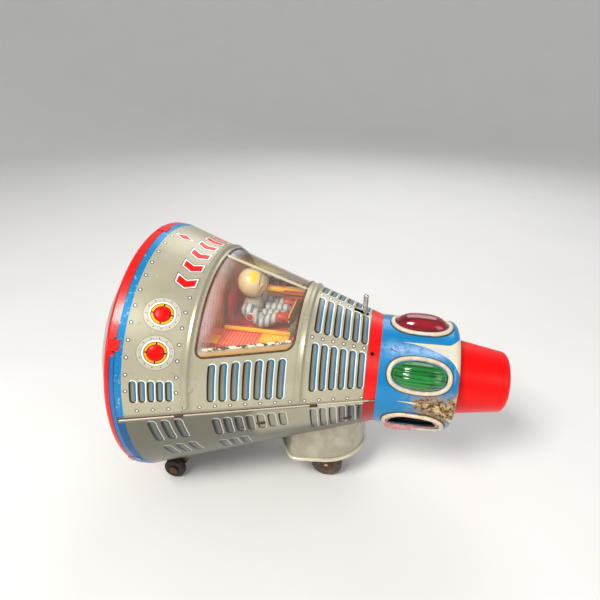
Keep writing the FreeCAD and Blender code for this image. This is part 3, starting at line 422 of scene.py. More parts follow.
def lower_tin():
    """The lower shell's printing: vents, bands and a folded flange, under painted shade that is lighter over
    one paler patch.
    """
    paint = tin_paint("litho_lower_shell")
    surface = Surface(paint)
    station, fold = surface.station, surface.fold
    distance, lit, across = nearest_vents(surface, (
        (26.6, 7.5, 3, 92.9, 105.9, 2.2, 0.19),
        (30.6, 7.5, 3, 111.2, 122.0, 2.2, 0.24),
        (62.3, 6.5, 7, 94.9, 108.0, 2.2, 0.07),
        (63.2, 6.6, 3, 114.6, 127.0, 2.2, 0.07),
        (119.9, 5.85, 6, 94.4, 120.0, 2.0, 0.03),
    ))
    pale = station.within(84.0, 136.0, 3.0) * fold.below(113.0, 4.0)
    # Painted shade: the lower shell faces down, away from the light, so its tin is darkened all over, less
    # over a paler patch between the vents.
    paint.cover(pale * -0.6 + 0.78, (74, 72, 63))
    inside = paint.mix(across.within(-0.4, 1.6, 0.6), (52, 54, 54), (104, 106, 102))
    inside = paint.mix(pale * 0.75, inside, (160, 155, 136))
    paint.cover(distance.within(-0.1, 0.6) * lit.above(0.0, 0.3), (204, 202, 190))
    paint.cover(distance.below(0.0), inside)
    paint.cover(distance.within(-0.75, 0.2) * lit.below(0.2, 0.3), INK)
    paint.cover(station.below(BLUE_BAND_END), (0, 84, 140))
    paint.cover(station.above(RED_BAND_START), (170, 12, 6))
    flange_end = SEAM + 1.9
    paint.cover(fold.below(flange_end, 0.2) * 0.7, TIN)
    paint.cover(fold.within(flange_end, flange_end + 0.6, 0.1) * 0.6, TIN_DARK)
    paint.cover(fold.below(SEAM + 0.7, 0.2), RUST_DARK)
    paint.cover(station.within(118.0, 150.0, 1.0) * fold.below(94.0, 1.0) * 0.5, CREAM)
    spill = length(station - 76.0, (fold - 104.0) * surface.arc).below(5.5, 4.0)
    spill = spill.high(station.within(90.0, 152.0, 4.0) * fold.within(121.0, 160.0, 8.0) * 0.8)
    rust_specks(paint, spill.high(station.above(155.0, 1.0) * 0.9))
    return tin_finish(paint)


def drum_paint():
    """Blue lacquer with cream flames between the lenses, chipped and rusted on the near side, with a painted
    pale-blue highlight along its upper near side.
    """
    paint = Paint("litho_drum", metallic=0.15, specular_ior_level=0.35, coat_weight=0.3, coat_roughness=0.1)
    surface = Surface(paint)
    station, angle = surface.station, surface.angle
    sixth = surface.fold / LENS_STEP - 0.47
    turn = (sixth - sixth.nearest_whole()) * LENS_STEP
    flame_tip, shoulder_start = 171.0, 199.0
    run = (station - flame_tip).high(0.0)
    shoulder = (station - shoulder_start).high(0.0)
    upper = run * -0.06 - shoulder * shoulder * 0.2
    lower = run * run * 0.0147 + shoulder * shoulder * 0.12
    edge = (upper - turn).high(turn - lower)
    shown = station.above(flame_tip, 0.5)
    paint.colour = paint.mix(paint.noise(20.0, 2.0) * 0.6, (0, 132, 190), (0, 106, 160))
    paint.cover(edge.below(0.55, 0.12) * shown, (40, 52, 70))
    paint.cover(edge.below(0.2, 0.12) * shown, CREAM)
    near = angle.within(6.0, 66.0, 4.0)
    # Painted highlight: pale-blue patches in a band along the upper near side, where the lacquer catches the
    # light; the same band also gets more dark flakes of real wear.
    scuff_and_sheen_band = near * station.within(158.0, 200.0, 8.0) * angle.within(30.0, 43.0, 6.0)
    sheen_patches = paint.noise(3.2, 5.0, 0.7) + scuff_and_sheen_band * 0.2
    paint.cover(sheen_patches.above(0.58, 0.16) * scuff_and_sheen_band * 0.8, (164, 196, 232))
    flakes = paint.noise(1.7, 4.0, 0.7) + scuff_and_sheen_band * station.below(172.0, 8.0) * 0.22
    paint.cover(flakes.above(0.76, 0.03) * near, (40, 52, 66))
    wander = paint.noise(7.0, 3.0, 0.6) * 22.0
    rusted = (angle + wander).within(86.0, 126.0, 7.0) * (station + wander * 0.7).above(187.0, 8.0)
    rust = paint.noise(2.6, 6.0, 0.75) + rusted * 0.17
    paint.cover(rust.above(0.56, 0.06) * rusted * 0.75, (170, 140, 84))
    paint.cover(rust.above(0.66, 0.04) * rusted, (150, 110, 56))
    paint.cover(rust.above(0.70, 0.03) * rusted, (98, 64, 32))
    paint.cover(rust.above(0.77, 0.03) * rusted, RUST_DARK)
    lined = length(station - 186.0, (angle - 88.0) * surface.arc).below(24.0, 6.0)
    paint.cover(flakes.above(0.68, 0.03) * lined, (96, 66, 40))
    rims = station.below(159.4, 0.8).high(station.above(206.0, 0.8))
    rust_specks(paint, rims * 0.55 + rusted * 0.3, 1.2)
    roughness = rust.above(0.64, 0.06) * rusted * 0.4 + 0.28
    height = paint.noise(18.0, 1.0) * 0.6 + rust.above(0.66, 0.06) * rusted * 0.12
    return paint.finish(roughness, height, 0.8, 0.35)


def rim_paint():
    """Red gloss lacquer, scuffed on the roll, with black round the folded tabs and painted shade along its
    front edge, in the gap where it overlaps the shell.
    """
    paint = Paint("litho_rim", specular_ior_level=0.35, coat_weight=0.25, coat_roughness=0.12)
    surface = Surface(paint)
    station = surface.station
    shade = paint.noise(16.0, 3.0)
    paint.colour = paint.mix(shade.within(0.4, 0.8, 0.2) * 0.5, RED, (200, 22, 14))
    chips = paint.noise(1.6, 5.0, 0.7)
    paint.cover(chips.above(0.70, 0.03) * 0.6, (236, 96, 76))
    paint.cover(chips.above(0.78, 0.03), RUST_DARK)
    for line in (1.3, 2.7):
        paint.cover(station.within(line, line + 0.45, 0.1) * 0.75, (112, 10, 8))
    low_part = surface.fold.above(64.0, 0.3)
    paint.cover(low_part * station.above(4.9, 0.1), (0, 104, 172))
    paint.cover(low_part * station.within(4.5, 5.0), INK)
    sixth = surface.fold / LENS_STEP
    tab_side = 3.5
    turn = abs(sixth - sixth.nearest_whole()) * LENS_STEP * surface.arc
    paint.cover(turn.within(tab_side, 4.4, 0.15) * station.above(5.6, 0.2), INK)
    # Painted shade: a dark strip along the front edge, away from the tabs, for the gap where the rim overlaps
    # the shell.
    paint.cover(station.above(7.3, 0.15) * turn.above(tab_side, 0.1), (58, 30, 28))
    return paint.finish(shade * 0.2 + 0.2, paint.noise(9.0, 2.0), 0.5, 0.3)


# ---- other materials ----


def plain_paint(name, base, deep, roughness=0.4, size=8.0, depth=0.1, **settings):
    """A lacquer or plastic whose colour and gloss vary a little."""
    paint = Paint(name, **settings)
    cloud = paint.noise(size, 4.0)
    paint.colour = paint.mix(cloud.within(0.35, 0.8, 0.2), base, deep)
    paint.cover(paint.noise(size * 0.12, 3.0, 0.7).above(0.74, 0.04) * 0.25, RUST_DARK)
    return paint.finish(cloud * 0.18 + (roughness - 0.09), paint.noise(size * 0.25, 3.0), depth, 0.3)


def metal_paint(name, base, deep, roughness=0.32, rust=0.0, stretch=(1.0, 1.0, 1.0)):
    """Bare or plated metal with fine brushing, tarnish and some rust."""
    paint = Paint(name, metallic=1.0)
    brushing = paint.noise(0.7, 2.0, 0.5, stretch=stretch)
    paint.colour = paint.mix(paint.noise(9.0, 4.0).within(0.4, 0.85, 0.2), base, deep)
    spots = (paint.noise(3.0, 5.0, 0.7) + rust).above(0.78, 0.05)
    paint.cover(spots, RUST)
    return paint.finish(brushing * 0.2 + (roughness - 0.1) + spots * 0.3, brushing, 0.05, 0.25)


def striped_paint(name, first, second, pitch, share=0.5, axis="y", roughness=0.45):
    """Printed stripes across one of the row's axes, pitch millimetres apart."""
    paint = Paint(name)
    run = paint.place()["xyz".index(axis)] * (1 / (pitch * MM))
    inside = abs(run - run.nearest_whole()).below(share / 2, 0.04)
    cloud = paint.noise(12.0, 3.0)
    paint.colour = paint.mix(inside, first, second)
    paint.cover(cloud.above(0.62, 0.1) * 0.3, RUST)
    return paint.finish(cloud * 0.15 + roughness, inside, 0.15, 0.3)


def bulb_paint():
    """Clear glass with a yellowed film and fine scratches."""
    paint = Paint("bulb_glass", transmission_weight=0.95, ior=1.46)
    film = paint.noise(14.0, 4.0).above(0.55, 0.2)
    scratch = paint.noise(1.1, 2.0, 0.5, stretch=(0.1, 1.0, 1.0)).above(0.72, 0.03)
    paint.colour = paint.mix(film * 0.4, (250, 250, 248), (236, 226, 200))
    return paint.finish(scratch * 0.2 + 0.02, paint.noise(22.0, 1.0), 0.25, 0.3)


def canopy_paint():
    """Yellowed clear plastic, milky towards the rear edge, brown along its lower lip."""
    paint = Paint("canopy_plastic", ior=1.46, specular_ior_level=0.18)
    surface = Surface(paint)
    film = paint.noise(16.0, 4.0)
    haze = surface.station.below(55.0, 3.5) * film.above(0.4, 0.2)
    lip = (surface.level - WINDOW_LOW).below(2.4, 0.8)
    over = surface.side.below(-0.5, 0.4)
    paint.colour = paint.mix(over, (214, 206, 190), (134, 116, 84))
    paint.cover(haze, (206, 214, 222))
    paint.cover(lip * 0.9, (200, 160, 92))
    smear = over * surface.station.within(68.0, 92.0, 8.0) * surface.side.within(-12.0, -3.0, 3.0)
    paint.cover(smear * film.above(0.5, 0.06), (206, 176, 20))
    scratch = paint.noise(1.1, 2.0, 0.5, stretch=(0.1, 1.0, 1.0)).above(0.7, 0.03)
    veil = film * 0.06 + 0.03 + haze * 0.26 + lip * 0.7 + scratch * 0.1 + over * 0.3
    paint.set("Alpha", veil.low(0.9))
    return paint.finish(scratch * 0.25 + film * 0.06 + 0.05, paint.noise(22.0, 1.0), 0.4, 0.3)


def lens_paint(name, base, deep, ribs):
    """Deep-coloured clear plastic, darker between the ribs and glossy on top."""
    paint = Paint(name, transmission_weight=0.08, coat_weight=0.5, coat_roughness=0.05)
    depth = paint.noise(9.0, 3.0)
    sixth = Surface(paint).angle / LENS_STEP
    across = (sixth - sixth.nearest_whole()) * (LENS_STEP * math.radians(1) * DRUM_RADIUS)
    flute = across * (ribs / (2 * LENS_WIDE))
    between = abs(flute - flute.nearest_whole()).above(0.3, 0.12)
    streak = paint.noise(2.2, 2.0, 0.5, stretch=(0.08, 1.0, 1.0))
    dark = streak.above(0.56, 0.12) * 0.6 + between * 0.5
    paint.colour = paint.mix(dark, base, deep)
    paint.cover(depth.above(0.55, 0.2) * 0.4, deep)
    return paint.finish(depth * 0.1 + 0.1, paint.noise(5.0, 2.0), 0.1, 0.25)


def ledge_paint():
    """Cream paint rubbed off in dark dashes, with some rust."""
    paint = Paint("window_ledge")
    rubbed = paint.noise(2.4, 4.0, 0.65, stretch=(0.45, 1.0, 1.0))
    paint.colour = paint.mix(rubbed.above(0.50, 0.03), (250, 240, 208), (150, 96, 40))
    paint.cover(rubbed.above(0.54, 0.02), (24, 16, 12))
    return paint.finish(rubbed * 0.4 + 0.3, rubbed, 0.2, 0.4)


def helmet_paint():
    """Ivory plastic with a rubbed yellow patch on its near front side."""
    paint = Paint("helmet_plastic", coat_weight=0.3)
    centre, radius = helmet_ball()
    patch = centre + Vector((0.34, -0.6, 0.72)).normalized() * radius * MM
    x, y, z = paint.place()
    off = length(length(x - patch.x, (y - patch.y) * 0.8), (z - patch.z) * 0.8) * (1 / MM)
    cloud = paint.noise(9.0, 4.0)
    paint.colour = paint.mix(cloud.within(0.35, 0.8, 0.2), (240, 226, 180), (222, 202, 150))
    paint.cover((off + cloud * 2.4).below(4.4, 0.25), (234, 208, 20))
    return paint.finish(cloud * 0.16 + 0.26, paint.noise(3.0, 3.0), 0.08, 0.3)


MATERIALS = {
    "upper_tin": upper_tin(),
    "lower_tin": lower_tin(),
    "rim": rim_paint(),
    "drum": drum_paint(),
    "steel": metal_paint("plated_steel", (222, 218, 210), (178, 172, 160), 0.26, 0.03, (1, 1, 0.1)),
    "worn_steel": metal_paint("worn_steel", (150, 142, 126), (104, 92, 76), 0.42, 0.14),
    "brass": metal_paint("brass", (206, 160, 84), (150, 104, 50), 0.34, 0.05),
    "rusty_brass": metal_paint("rusty_brass", (150, 112, 70), (104, 70, 44), 0.5, 0.16),
    "bare_tin": metal_paint("bare_tin", (176, 170, 152), (128, 120, 104), 0.36, 0.06),
    "can": metal_paint("motor_can", (188, 188, 186), (150, 150, 150), 0.28, 0.0, (1, 1, 0.1)),
    "rubber": plain_paint("wheel_rubber", (62, 54, 48), (38, 34, 32), 0.75, 3.0, 0.25),
    "dusty_rubber": plain_paint("dusty_rubber", (112, 98, 82), (78, 68, 58), 0.8, 3.0, 0.3),
    "shield": plain_paint("shield_lacquer", (176, 171, 150), (146, 140, 120), 0.34, 18.0, 0.3,
                          metallic=0.25, coat_weight=0.3),
    "fairing": plain_paint("fairing_lacquer", (200, 195, 175), (164, 156, 134), 0.3, 12.0, 0.35,
                           metallic=0.25, coat_weight=0.4),
    "bright_roll": plain_paint("rolled_edge", (232, 228, 208), (200, 194, 172), 0.28, 6.0, 0.1,
                               metallic=0.2),
    "nose": plain_paint("nose_plastic", (246, 2, 0), (226, 0, 0), 0.34, 30.0, 0.1,
                        coat_weight=0.06, specular_ior_level=0.2),
    "bezel": plain_paint("bezel_lacquer", (236, 226, 204), (206, 184, 156), 0.36, 4.0, 0.2),
    "bezel_line": plain_paint("bezel_outline", (30, 22, 22), (62, 40, 30), 0.5, 3.0),
    "battery": striped_paint("battery_wrap", (36, 38, 46), (176, 138, 60), 58.0, 0.3, "y", 0.3),
    "floor_litho": striped_paint("cockpit_floor_litho", (240, 120, 60), (214, 48, 28), 3.0),
    "wall_litho": striped_paint("cockpit_wall_litho", (252, 196, 140), (240, 74, 56), 2.6),
    "console_litho": striped_paint("console_litho", (255, 122, 84), (236, 66, 48), 2.2, 0.4, "x"),
    "panel_litho": plain_paint("cockpit_panel", (146, 142, 118), (112, 108, 88), 0.4, 10.0),
    "seat": plain_paint("seat_plastic", (244, 78, 122), (214, 40, 84), 0.35, 8.0),
    "yellow": plain_paint("yellow_litho", (255, 214, 10), (250, 176, 8), 0.4, 6.0),
    "orange": plain_paint("orange_plastic", (226, 84, 44), (196, 56, 30), 0.4, 3.0, 0.3),
    "chest": plain_paint("torso_plastic", (214, 206, 186), (178, 168, 146), 0.35, 6.0),
    "ivory": plain_paint("earpiece_plastic", (226, 198, 158), (206, 172, 128), 0.34, 12.0, 0.1,
                         coat_weight=0.3),
    "sleeve": striped_paint("sleeve_stripes", (206, 204, 190), (120, 134, 146), 4.2, 0.42, "x"),
    "red_badge": plain_paint("badge_red", (214, 60, 50), (180, 36, 30), 0.4, 3.0),
    "white_ring": plain_paint("badge_white", (232, 230, 218), (206, 200, 180), 0.4, 3.0),
    "seal": plain_paint("window_seal", (126, 92, 46), (70, 46, 24), 0.35, 3.0, 0.2),
    "ledge": ledge_paint(),
    "canopy": canopy_paint(),
    "bulb": bulb_paint(),
    "lens_red": lens_paint("lens_red_plastic", (158, 0, 30), (80, 0, 14), 3.0),
    "lens_green": lens_paint("lens_green_plastic", (0, 142, 44), (0, 62, 20), 9.0),
    "helmet": helmet_paint(),
    "faded_red": plain_paint("faded_lens", (238, 208, 200), (186, 118, 116), 0.4, 2.0),
}

# The CAD nodes that stay on show, by material.
SHOWN_NODES = {
    "upper_tin": "upper_shell",
    "lower_tin": "lower_shell battery_door",
    "rim": "rim_ring",
    "drum": "lens_housing",
    "shield": "heat_shield",
    "nose": "nose_cone",
    "fairing": "drive_fairing",
    "floor_litho": "cockpit_floor",
    "wall_litho": "cockpit_rear_panel",
    "panel_litho": "cockpit_front_panel instrument_panel",
    "console_litho": "side_consoles",
    "seat": "seat",
    "orange": "control_grip",
    "bulb": "lamp_bulb",
    "battery": "battery_lower battery_upper",
    "can": "drive_motor",
    "bare_tin": "lamp_bracket switch_bracket battery_box door_hinge_leaves drive_base_plate drive_top_plate",
    "brass": "lamp_socket battery_contacts motor_pinion spur_gear shaft_pinion crown_gear",
    "steel": "switch_lever switch_pin door_hinge_pin gearbox_screws drive_shaft turntable_collar drive_axle",
    "worn_steel": "gearbox_posts turntable rear_bracket_near rear_bracket_far bracket_rivets",
}


def dress_nodes():
    """Gives each CAD node that stays on show its material."""
    for material, names in SHOWN_NODES.items():
        for name in names.split():
            mesh = NODES[name].data
            mesh.materials.clear()
            mesh.materials.append(MATERIALS[material])


# ---- mesh making ----


def piece(name, shape, material, body="capsule", replaces=(), smooth=True):
    """A mesh piece in the row frame, from its points and faces, that rides on a body."""
    points, faces = shape
    mesh = bpy.data.meshes.new(name)
    mesh.from_pydata([tuple(p) for p in points], [], faces)
    mesh.validate()
    if smooth:
        mesh.shade_smooth()
    else:
        mesh.shade_flat()
    mesh.materials.append(MATERIALS[material])
    made = bpy.data.objects.new(name, mesh)
    bpy.context.scene.collection.objects.link(made)
    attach(made, body)
    if replaces:
        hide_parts(*replaces)
    return made


def add_modifier(made, kind, **settings):
    modifier = made.modifiers.new(kind.title(), kind)
    for key, value in settings.items():
        setattr(modifier, key, value)


def strip_faces(rows, columns, wrap_rows=False, wrap_columns=True):
    """Quads over a grid of points stored row by row."""
    faces = []
    for i in range(rows if wrap_rows else rows - 1):
        for j in range(columns if wrap_columns else columns - 1):
            k, m = (i + 1) % rows, (j + 1) % columns
            faces.append((i * columns + j, i * columns + m, k * columns + m, k * columns + j))
    return faces


def lathe(profile, centre, axis, segments=64, closed=True):
    """Points and faces of a profile of (along, radius) turned about an axis through centre."""
    axis = Vector(axis).normalized()
    side = axis.orthogonal().normalized()
    other = axis.cross(side)
    points = []
    for along, radius in profile:
        for turn in full_turn(segments):
            out = side * math.cos(turn) + other * math.sin(turn)
            points.append(centre + axis * along * MM + out * radius * MM)
    return points, strip_faces(len(profile), segments, wrap_rows=closed)


# The rounded end of an open tube, as shares of its radius along and across.
TUBE_CAP = ((0.96, 0.28), (0.72, 0.7), (0.38, 0.93))


def tube(path, radii, segments=20, closed=False):
    """Points and faces of a round tube along a path, with one radius in millimetres or one for each
    point. An open tube has rounded ends."""
    if not isinstance(radii, list):
        radii = [radii] * len(path)
    radii = [radius * MM for radius in radii]
    if not closed:
        first, last = (path[1] - path[0]).normalized(), (path[-1] - path[-2]).normalized()
        start = [(path[0] - first * radii[0] * a, radii[0] * b) for a, b in TUBE_CAP]
        end = [(path[-1] + last * radii[-1] * a, radii[-1] * b) for a, b in reversed(TUBE_CAP)]
        path = [p for p, _ in start] + list(path) + [p for p, _ in end]
        radii = [r for _, r in start] + radii + [r for _, r in end]
    points = []
    across = None
    count = len(path)
    for i, here in enumerate(path):
        before = path[i - 1] if closed or i else here
        after = path[(i + 1) % count] if closed or i < count - 1 else here
        along = (after - before).normalized()
        across = along.orthogonal() if across is None else across - along * across.dot(along)
        across.normalize()
        other = along.cross(across)
        for turn in full_turn(segments):
            points.append(here + (across * math.cos(turn) + other * math.sin(turn)) * radii[i])
    faces = strip_faces(count, segments, wrap_rows=closed)
    if not closed:
        faces.append(tuple(reversed(range(segments))))
        faces.append(tuple(range((count - 1) * segments, count * segments)))
    return points, faces


def smooth_path(corners, steps=8):
    """Points along a Catmull-Rom curve through the corners."""
    points = []
    for i in range(len(corners) - 1):
        a, b, c, d = (corners[max(0, min(len(corners) - 1, i + k))] for k in (-1, 0, 1, 2))
        for u in spread(0.0, 1.0, steps)[:-1]:
            bend = (2 * a - 5 * b + 4 * c - d) * u**2 + (3 * b - a - 3 * c + d) * u**3
            points.append(0.5 * (2 * b + (c - a) * u + bend))
    return points + [corners[-1]]


# ---- drum, lenses and bezels ----


def on_drum(along, across, height, angle):
    """A point over a lens place: along the axis, across it and above the drum, in millimetres."""
    radius = DRUM_RADIUS + height
    return spot(LENS_STATION + along, angle + math.degrees(across / DRUM_RADIUS), radius)


def oval(turn, long, wide):
    """A point on a lens outline, a little squarer than an ellipse."""
    return tuple(size * math.copysign(abs(part) ** (2 / OVAL_POWER), part)
                 for size, part in ((long, math.cos(turn)), (wide, math.sin(turn))))


def lens_oval(turn, share):
    """A point on the outline of a lens, drawn in or out to a share of its size."""
    return oval(turn, (LENS_LONG - LENS_ROOM) * share, (LENS_WIDE - LENS_ROOM) * share)


def lens(name, angle, colour):
    """A domed oval lens with lengthwise ribs."""
    ribs, rib_depth = LENS_RIBS[colour]
    rings, around = 26, 96
    points = []
    for i in range(rings):
        share = 1 - (i / (rings - 1)) ** 1.3
        for turn in full_turn(around):
            along, across = lens_oval(turn, share)
            flute = 0.5 - 0.5 * math.cos(2 * math.pi * across / (2 * LENS_WIDE / ribs))
            height = LENS_RISE * (1 - share**2.8) ** 0.62 - rib_depth * flute * min(1.0, 4 * (1 - share))
            points.append(on_drum(along, across, height - LENS_SUNK, angle))
    faces = strip_faces(rings, around)
    faces.append(tuple(range((rings - 1) * around, rings * around)))
    made = piece(name, (points, faces), colour, replaces=[name])
    add_modifier(made, "SOLIDIFY", thickness=1.2 * MM, offset=1)


def broken_lens(name, angle, colour):
    """What is left of the knocked-out lens: a torn stub, a shard along the upper edge and a lip that
    is folded out over the lower rear corner of the bezel."""
    dice = random.Random(7)
    around, rings = 120, 7
    fold_middle = math.radians(128)
    torn = [dice.uniform(0.0, 1.0) for _ in range(around)]
    points = []
    for step in spread(0.0, 1.0, rings - 1):
        for k, turn in enumerate(full_turn(around)):
            upper = max(0.0, -math.sin(turn)) * max(0.0, math.cos(turn * 0.5 + 0.4)) ** 0.5
            folded = max(0.0, math.cos(turn - fold_middle)) ** 3
            ragged = sum(torn[(k + m) % around] for m in range(-2, 3)) / 5
            reach = (0.06 + 0.1 * ragged + 0.45 * upper) * step * (1 - folded)
            flare = folded * (0.10 + 0.06 * ragged) * step
            along, across = lens_oval(turn, 1.0 - reach + flare)
            height = 0.2 + 6.0 * reach - 12 * reach**2 + folded * 3.0 * math.sin(math.pi * 0.75 * step)
            points.append(on_drum(along, across, height, angle))
    shape = (points, strip_faces(rings, around))
    made = piece(name, shape, "faded_red", replaces=[name])
    add_modifier(made, "SOLIDIFY", thickness=1.0 * MM, offset=1)


def bezel(name, angle):
    """The rounded cream frame of a lens, with a dark printed line round it."""
    rings = (("bezel", 1.35, 0.5, 1.45, 14), ("bezel_line", 3.0, 0.02, 0.45, 8))
    for part, grow, height, radius, segments in rings:
        outline = [oval(turn, LENS_LONG + grow, LENS_WIDE + grow) for turn in full_turn(96)]
        path = [on_drum(along, across, height, angle) for along, across in outline]
        piece(f"{part}_{name}", tube(path, radius, segments, closed=True), part)


def make_lenses():
    names = ("red_top", "green_near", "red_low_near", "green_bottom", "red_low_far", "green_far")
    for i, name in enumerate(names):
        make = broken_lens if name == "red_low_near" else lens
        make("lens_" + name, LENS_STEP * i, "lens_" + name.split("_")[0])
        bezel(name, LENS_STEP * i)


# ---- window and canopy ----


def cockpit_point(station, side, level):
    """A point from a station, a distance to the near side and a level above the axis."""
    return Vector((RIM_X + station * MM, -side * MM, AXIS_Z + level * MM))


def window_edge(side, drop):
    """The outline of the window on one side (1 near, -1 far), drop millimetres under the skin: from
    the crest down the rear end, along the sill and up the front end."""
    c, corner_level = WINDOW_CORNER, WINDOW_LOW + WINDOW_CORNER
    corner = spread(0.0, math.pi / 2, 8)

    def crest_levels(station):
        """The levels down the window's end, from the crest to its corner."""
        top = skin(station) - drop
        widest = math.acos(corner_level / top)
        return [top * math.cos(turn) for turn in spread(0.0, widest, 28)[:-1]]

    edge = [(WINDOW_START, level) for level in crest_levels(WINDOW_START)]
    edge += [(WINDOW_START + c - c * math.cos(t), corner_level - c * math.sin(t)) for t in corner]
    edge += [(station, WINDOW_LOW) for station in spread(WINDOW_START + c, WINDOW_END - c, 12)[1:-1]]
    edge += [(WINDOW_END - c + c * math.sin(t), corner_level - c * math.cos(t)) for t in corner]
    edge += [(WINDOW_END, level) for level in reversed(crest_levels(WINDOW_END))]
    path = []
    for station, level in edge:
        reach = math.sqrt(max((skin(station) - drop) ** 2 - level**2, 0.0))
        path.append(cockpit_point(station, side * reach, level))
    return path


def make_canopy():
    """The clear pane under the window, its seal, the bead on the crest, made pale as a painted highlight, and
    the two ledges.
    """
    across, along = 64, 24
    overlap, pane_sunk = 2.4, 0.62
    ledge_end, ledge_sunk, ledge_level = 3.5, 3.0, WINDOW_LOW + 2.6
    points = []
    for station in spread(WINDOW_START - overlap, WINDOW_END + overlap, along):
        radius = skin(station) - pane_sunk
        widest = math.degrees(math.acos((WINDOW_LOW - overlap) / radius))
        points += [spot(station, angle, radius) for angle in spread(-widest, widest, across)]
    shape = (points, strip_faces(along + 1, across + 1, wrap_columns=False))
    made = piece("canopy_pane", shape, "canopy", replaces=["canopy"])
    add_modifier(made, "SOLIDIFY", thickness=0.9 * MM, offset=-1)
    for side, label in SIDES:
        seal = tube(window_edge(side, 0.35), 0.7, 10)
        piece(f"window_seal_{label}", seal, "seal")
    # Painted highlight: the bead on the crest takes the pale rolled-edge colour to stand for the bright line
    # along it.
    ridge_highlight = [spot(s, 0.3, skin(s) - 0.35) for s in spread(WINDOW_START, WINDOW_END, 12)]
    piece("canopy_ridge_highlight", tube(ridge_highlight, 0.95, 12), "bright_roll")
    for side, label in SIDES:
        ledge = []
        for station in spread(WINDOW_START + ledge_end, WINDOW_END - ledge_end, 12):
            reach = math.sqrt((skin(station) - ledge_sunk) ** 2 - ledge_level**2)
            ledge.append(cockpit_point(station, side * reach, ledge_level))
        piece(f"window_ledge_{label}", tube(ledge, 1.25, 14), "ledge")


# ---- pressed details of the shells ----


def pressed_bump(name, profile, station, angle, sunk, segments, material):
    """A small round bump that stands out of the cone at a station and an angle."""
    turn = math.radians(angle)
    out = Vector((CONE_SLOPE, -math.sin(turn), math.cos(turn)))
    foot = spot(station, angle, skin(station) - sunk)
    piece(name, lathe(profile, foot, out, segments, closed=False), material)


def make_bumps():
    """The red buttons in the roundels, and the bumps where the two ribs fade out above the seam."""
    button = [(0.0, 4.75), (0.35, 4.6), (0.7, 4.0), (0.95, 3.0), (1.1, 1.6), (1.15, 0.02)]
    for side, label in SIDES:
        for row, gap in (("upper", -ROUNDEL_GAP), ("lower", ROUNDEL_GAP)):
            angle = side * (ROUNDEL_MIDDLE + gap)
            pressed_bump(f"button_{row}_{label}", button, ROUNDEL_STATION, angle, 0.1, 40, "nose")
    rib_end = [(-0.3, 2.2), (0.05, 2.1), (0.3, 1.5), (0.5, 0.8), (0.55, 0.02)]
    for side, label in SIDES:
        for row, station in (("rear", 48.3), ("front", 109.8)):
            pressed_bump(f"rib_end_{row}_{label}", rib_end, station, 77.5 * side, 0.0, 28, "upper_tin")


def make_seam():
    """The bright rolled edge of the lower shell along each seam, and its folded tabs."""
    roll_angle, half_tab, tab_sunk = SEAM + 0.9, 1.7, 0.3
    for side, label in SIDES:
        path = [spot(s, side * roll_angle, skin(s) + 0.1) for s in range(9, 157, 4)]
        piece(f"seam_roll_{label}", tube(path, 0.42, 8), "bright_roll")
        for name, middle, angle in SHELL_TABS:
            stations = spread(middle - half_tab, middle + half_tab, 2)
            tab = [spot(s, side * angle, skin(s) - tab_sunk) for s in stations]
            piece(f"{name}_{label}", tube(tab, 1.25, 16), "bezel_line")


def make_fairing_bead():
    """The bright bead round the open edge of the skirt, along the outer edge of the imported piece."""
    corners = [v.co for v in NODES["drive_fairing"].data.vertices]
    low = min(p.z for p in corners)
    centre = sum(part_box("drive_fairing"), Vector()) / 2
    # The outermost low corner in each three degrees round the skirt.
    sector, slack, inset, lift = 3, 0.2 * MM, 0.6 * MM, 1.1 * MM
    edge = {}
    for p in corners:
        turn = round(math.degrees(math.atan2(p.y - centre.y, p.x - centre.x)) / sector)
        out = math.hypot(p.x - centre.x, p.y - centre.y)
        if p.z < low + slack and out > edge.get(turn, (0.0, p))[0]:
            edge[turn] = (out, p)
    path = []
    for _, (out, p) in sorted(edge.items()):
        away = Vector((p.x - centre.x, p.y - centre.y, 0)) / out
        path.append(Vector((p.x, p.y, low + lift)) - away * inset)
    piece("fairing_bead", tube(path, 1.3, 16, closed=True), "bright_roll")


# ---- figure ----


def make_helmet():
    """The round ivory helmet, with the raised edge of its visor and an earpiece on each side."""
    centre, radius = helmet_ball()
    profile = [(-radius * math.cos(t), max(0.02, radius * math.sin(t))) for t in spread(0.0, math.pi, 24)]
    ball = lathe(profile, centre, (0, 0, 1), 56, closed=False)
    piece("astronaut_helmet_shell", ball, "helmet", replaces=["astronaut_helmet"])
    visor = []
    for degrees in spread(-150, 150, 48):
        turn = math.radians(degrees)
        out = Vector((0.62, math.sin(turn) * 0.78, math.cos(turn) * 0.78)).normalized()
        visor.append(centre + out * (radius + 0.1) * MM)
    piece("helmet_visor_edge", tube(visor, 0.75, 10), "ivory")
    rim = [(-0.4, 2.6), (0.7, 2.6), (1.0, 2.2), (0.7, 1.7), (0.2, 1.5), (0.3, 0.8), (0.9, 0.4), (0.9, 0.02)]
    for side, label in SIDES:
        out = Vector((0.8, side * -0.58, -0.06)).normalized()
        earpiece = lathe(rim, centre + out * radius * MM, out, 32, closed=False)
        piece(f"helmet_earpiece_{label}", earpiece, "ivory")


def make_chest():
    """The torso, as a stack of ovals that is narrow at the waist and the neck."""
    low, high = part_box("astronaut_torso")
    middle = (low + high) / 2
    half = (high - low) / 2
    # Each ring is (level, depth, width), as shares of half the torso's size.
    rings = [(-1.0, 0.74, 0.80), (-0.6, 0.92, 0.96), (0.0, 0.98, 1.0),
             (0.45, 0.94, 0.98), (0.8, 0.7, 0.8), (1.0, 0.4, 0.5)]
    points = []
    around = 40
    for level, deep, wide in rings:
        for turn in full_turn(around):
            out = Vector((half.x * deep * math.cos(turn), half.y * wide * math.sin(turn), half.z * level))
            points.append(middle + out)
    faces = strip_faces(len(rings), around)
    faces += [tuple(reversed(range(around))), tuple(range((len(rings) - 1) * around, len(rings) * around))]
    made = piece("astronaut_chest", (points, faces), "chest", replaces=["astronaut_torso"])
    add_modifier(made, "SUBSURF", levels=2, render_levels=2)


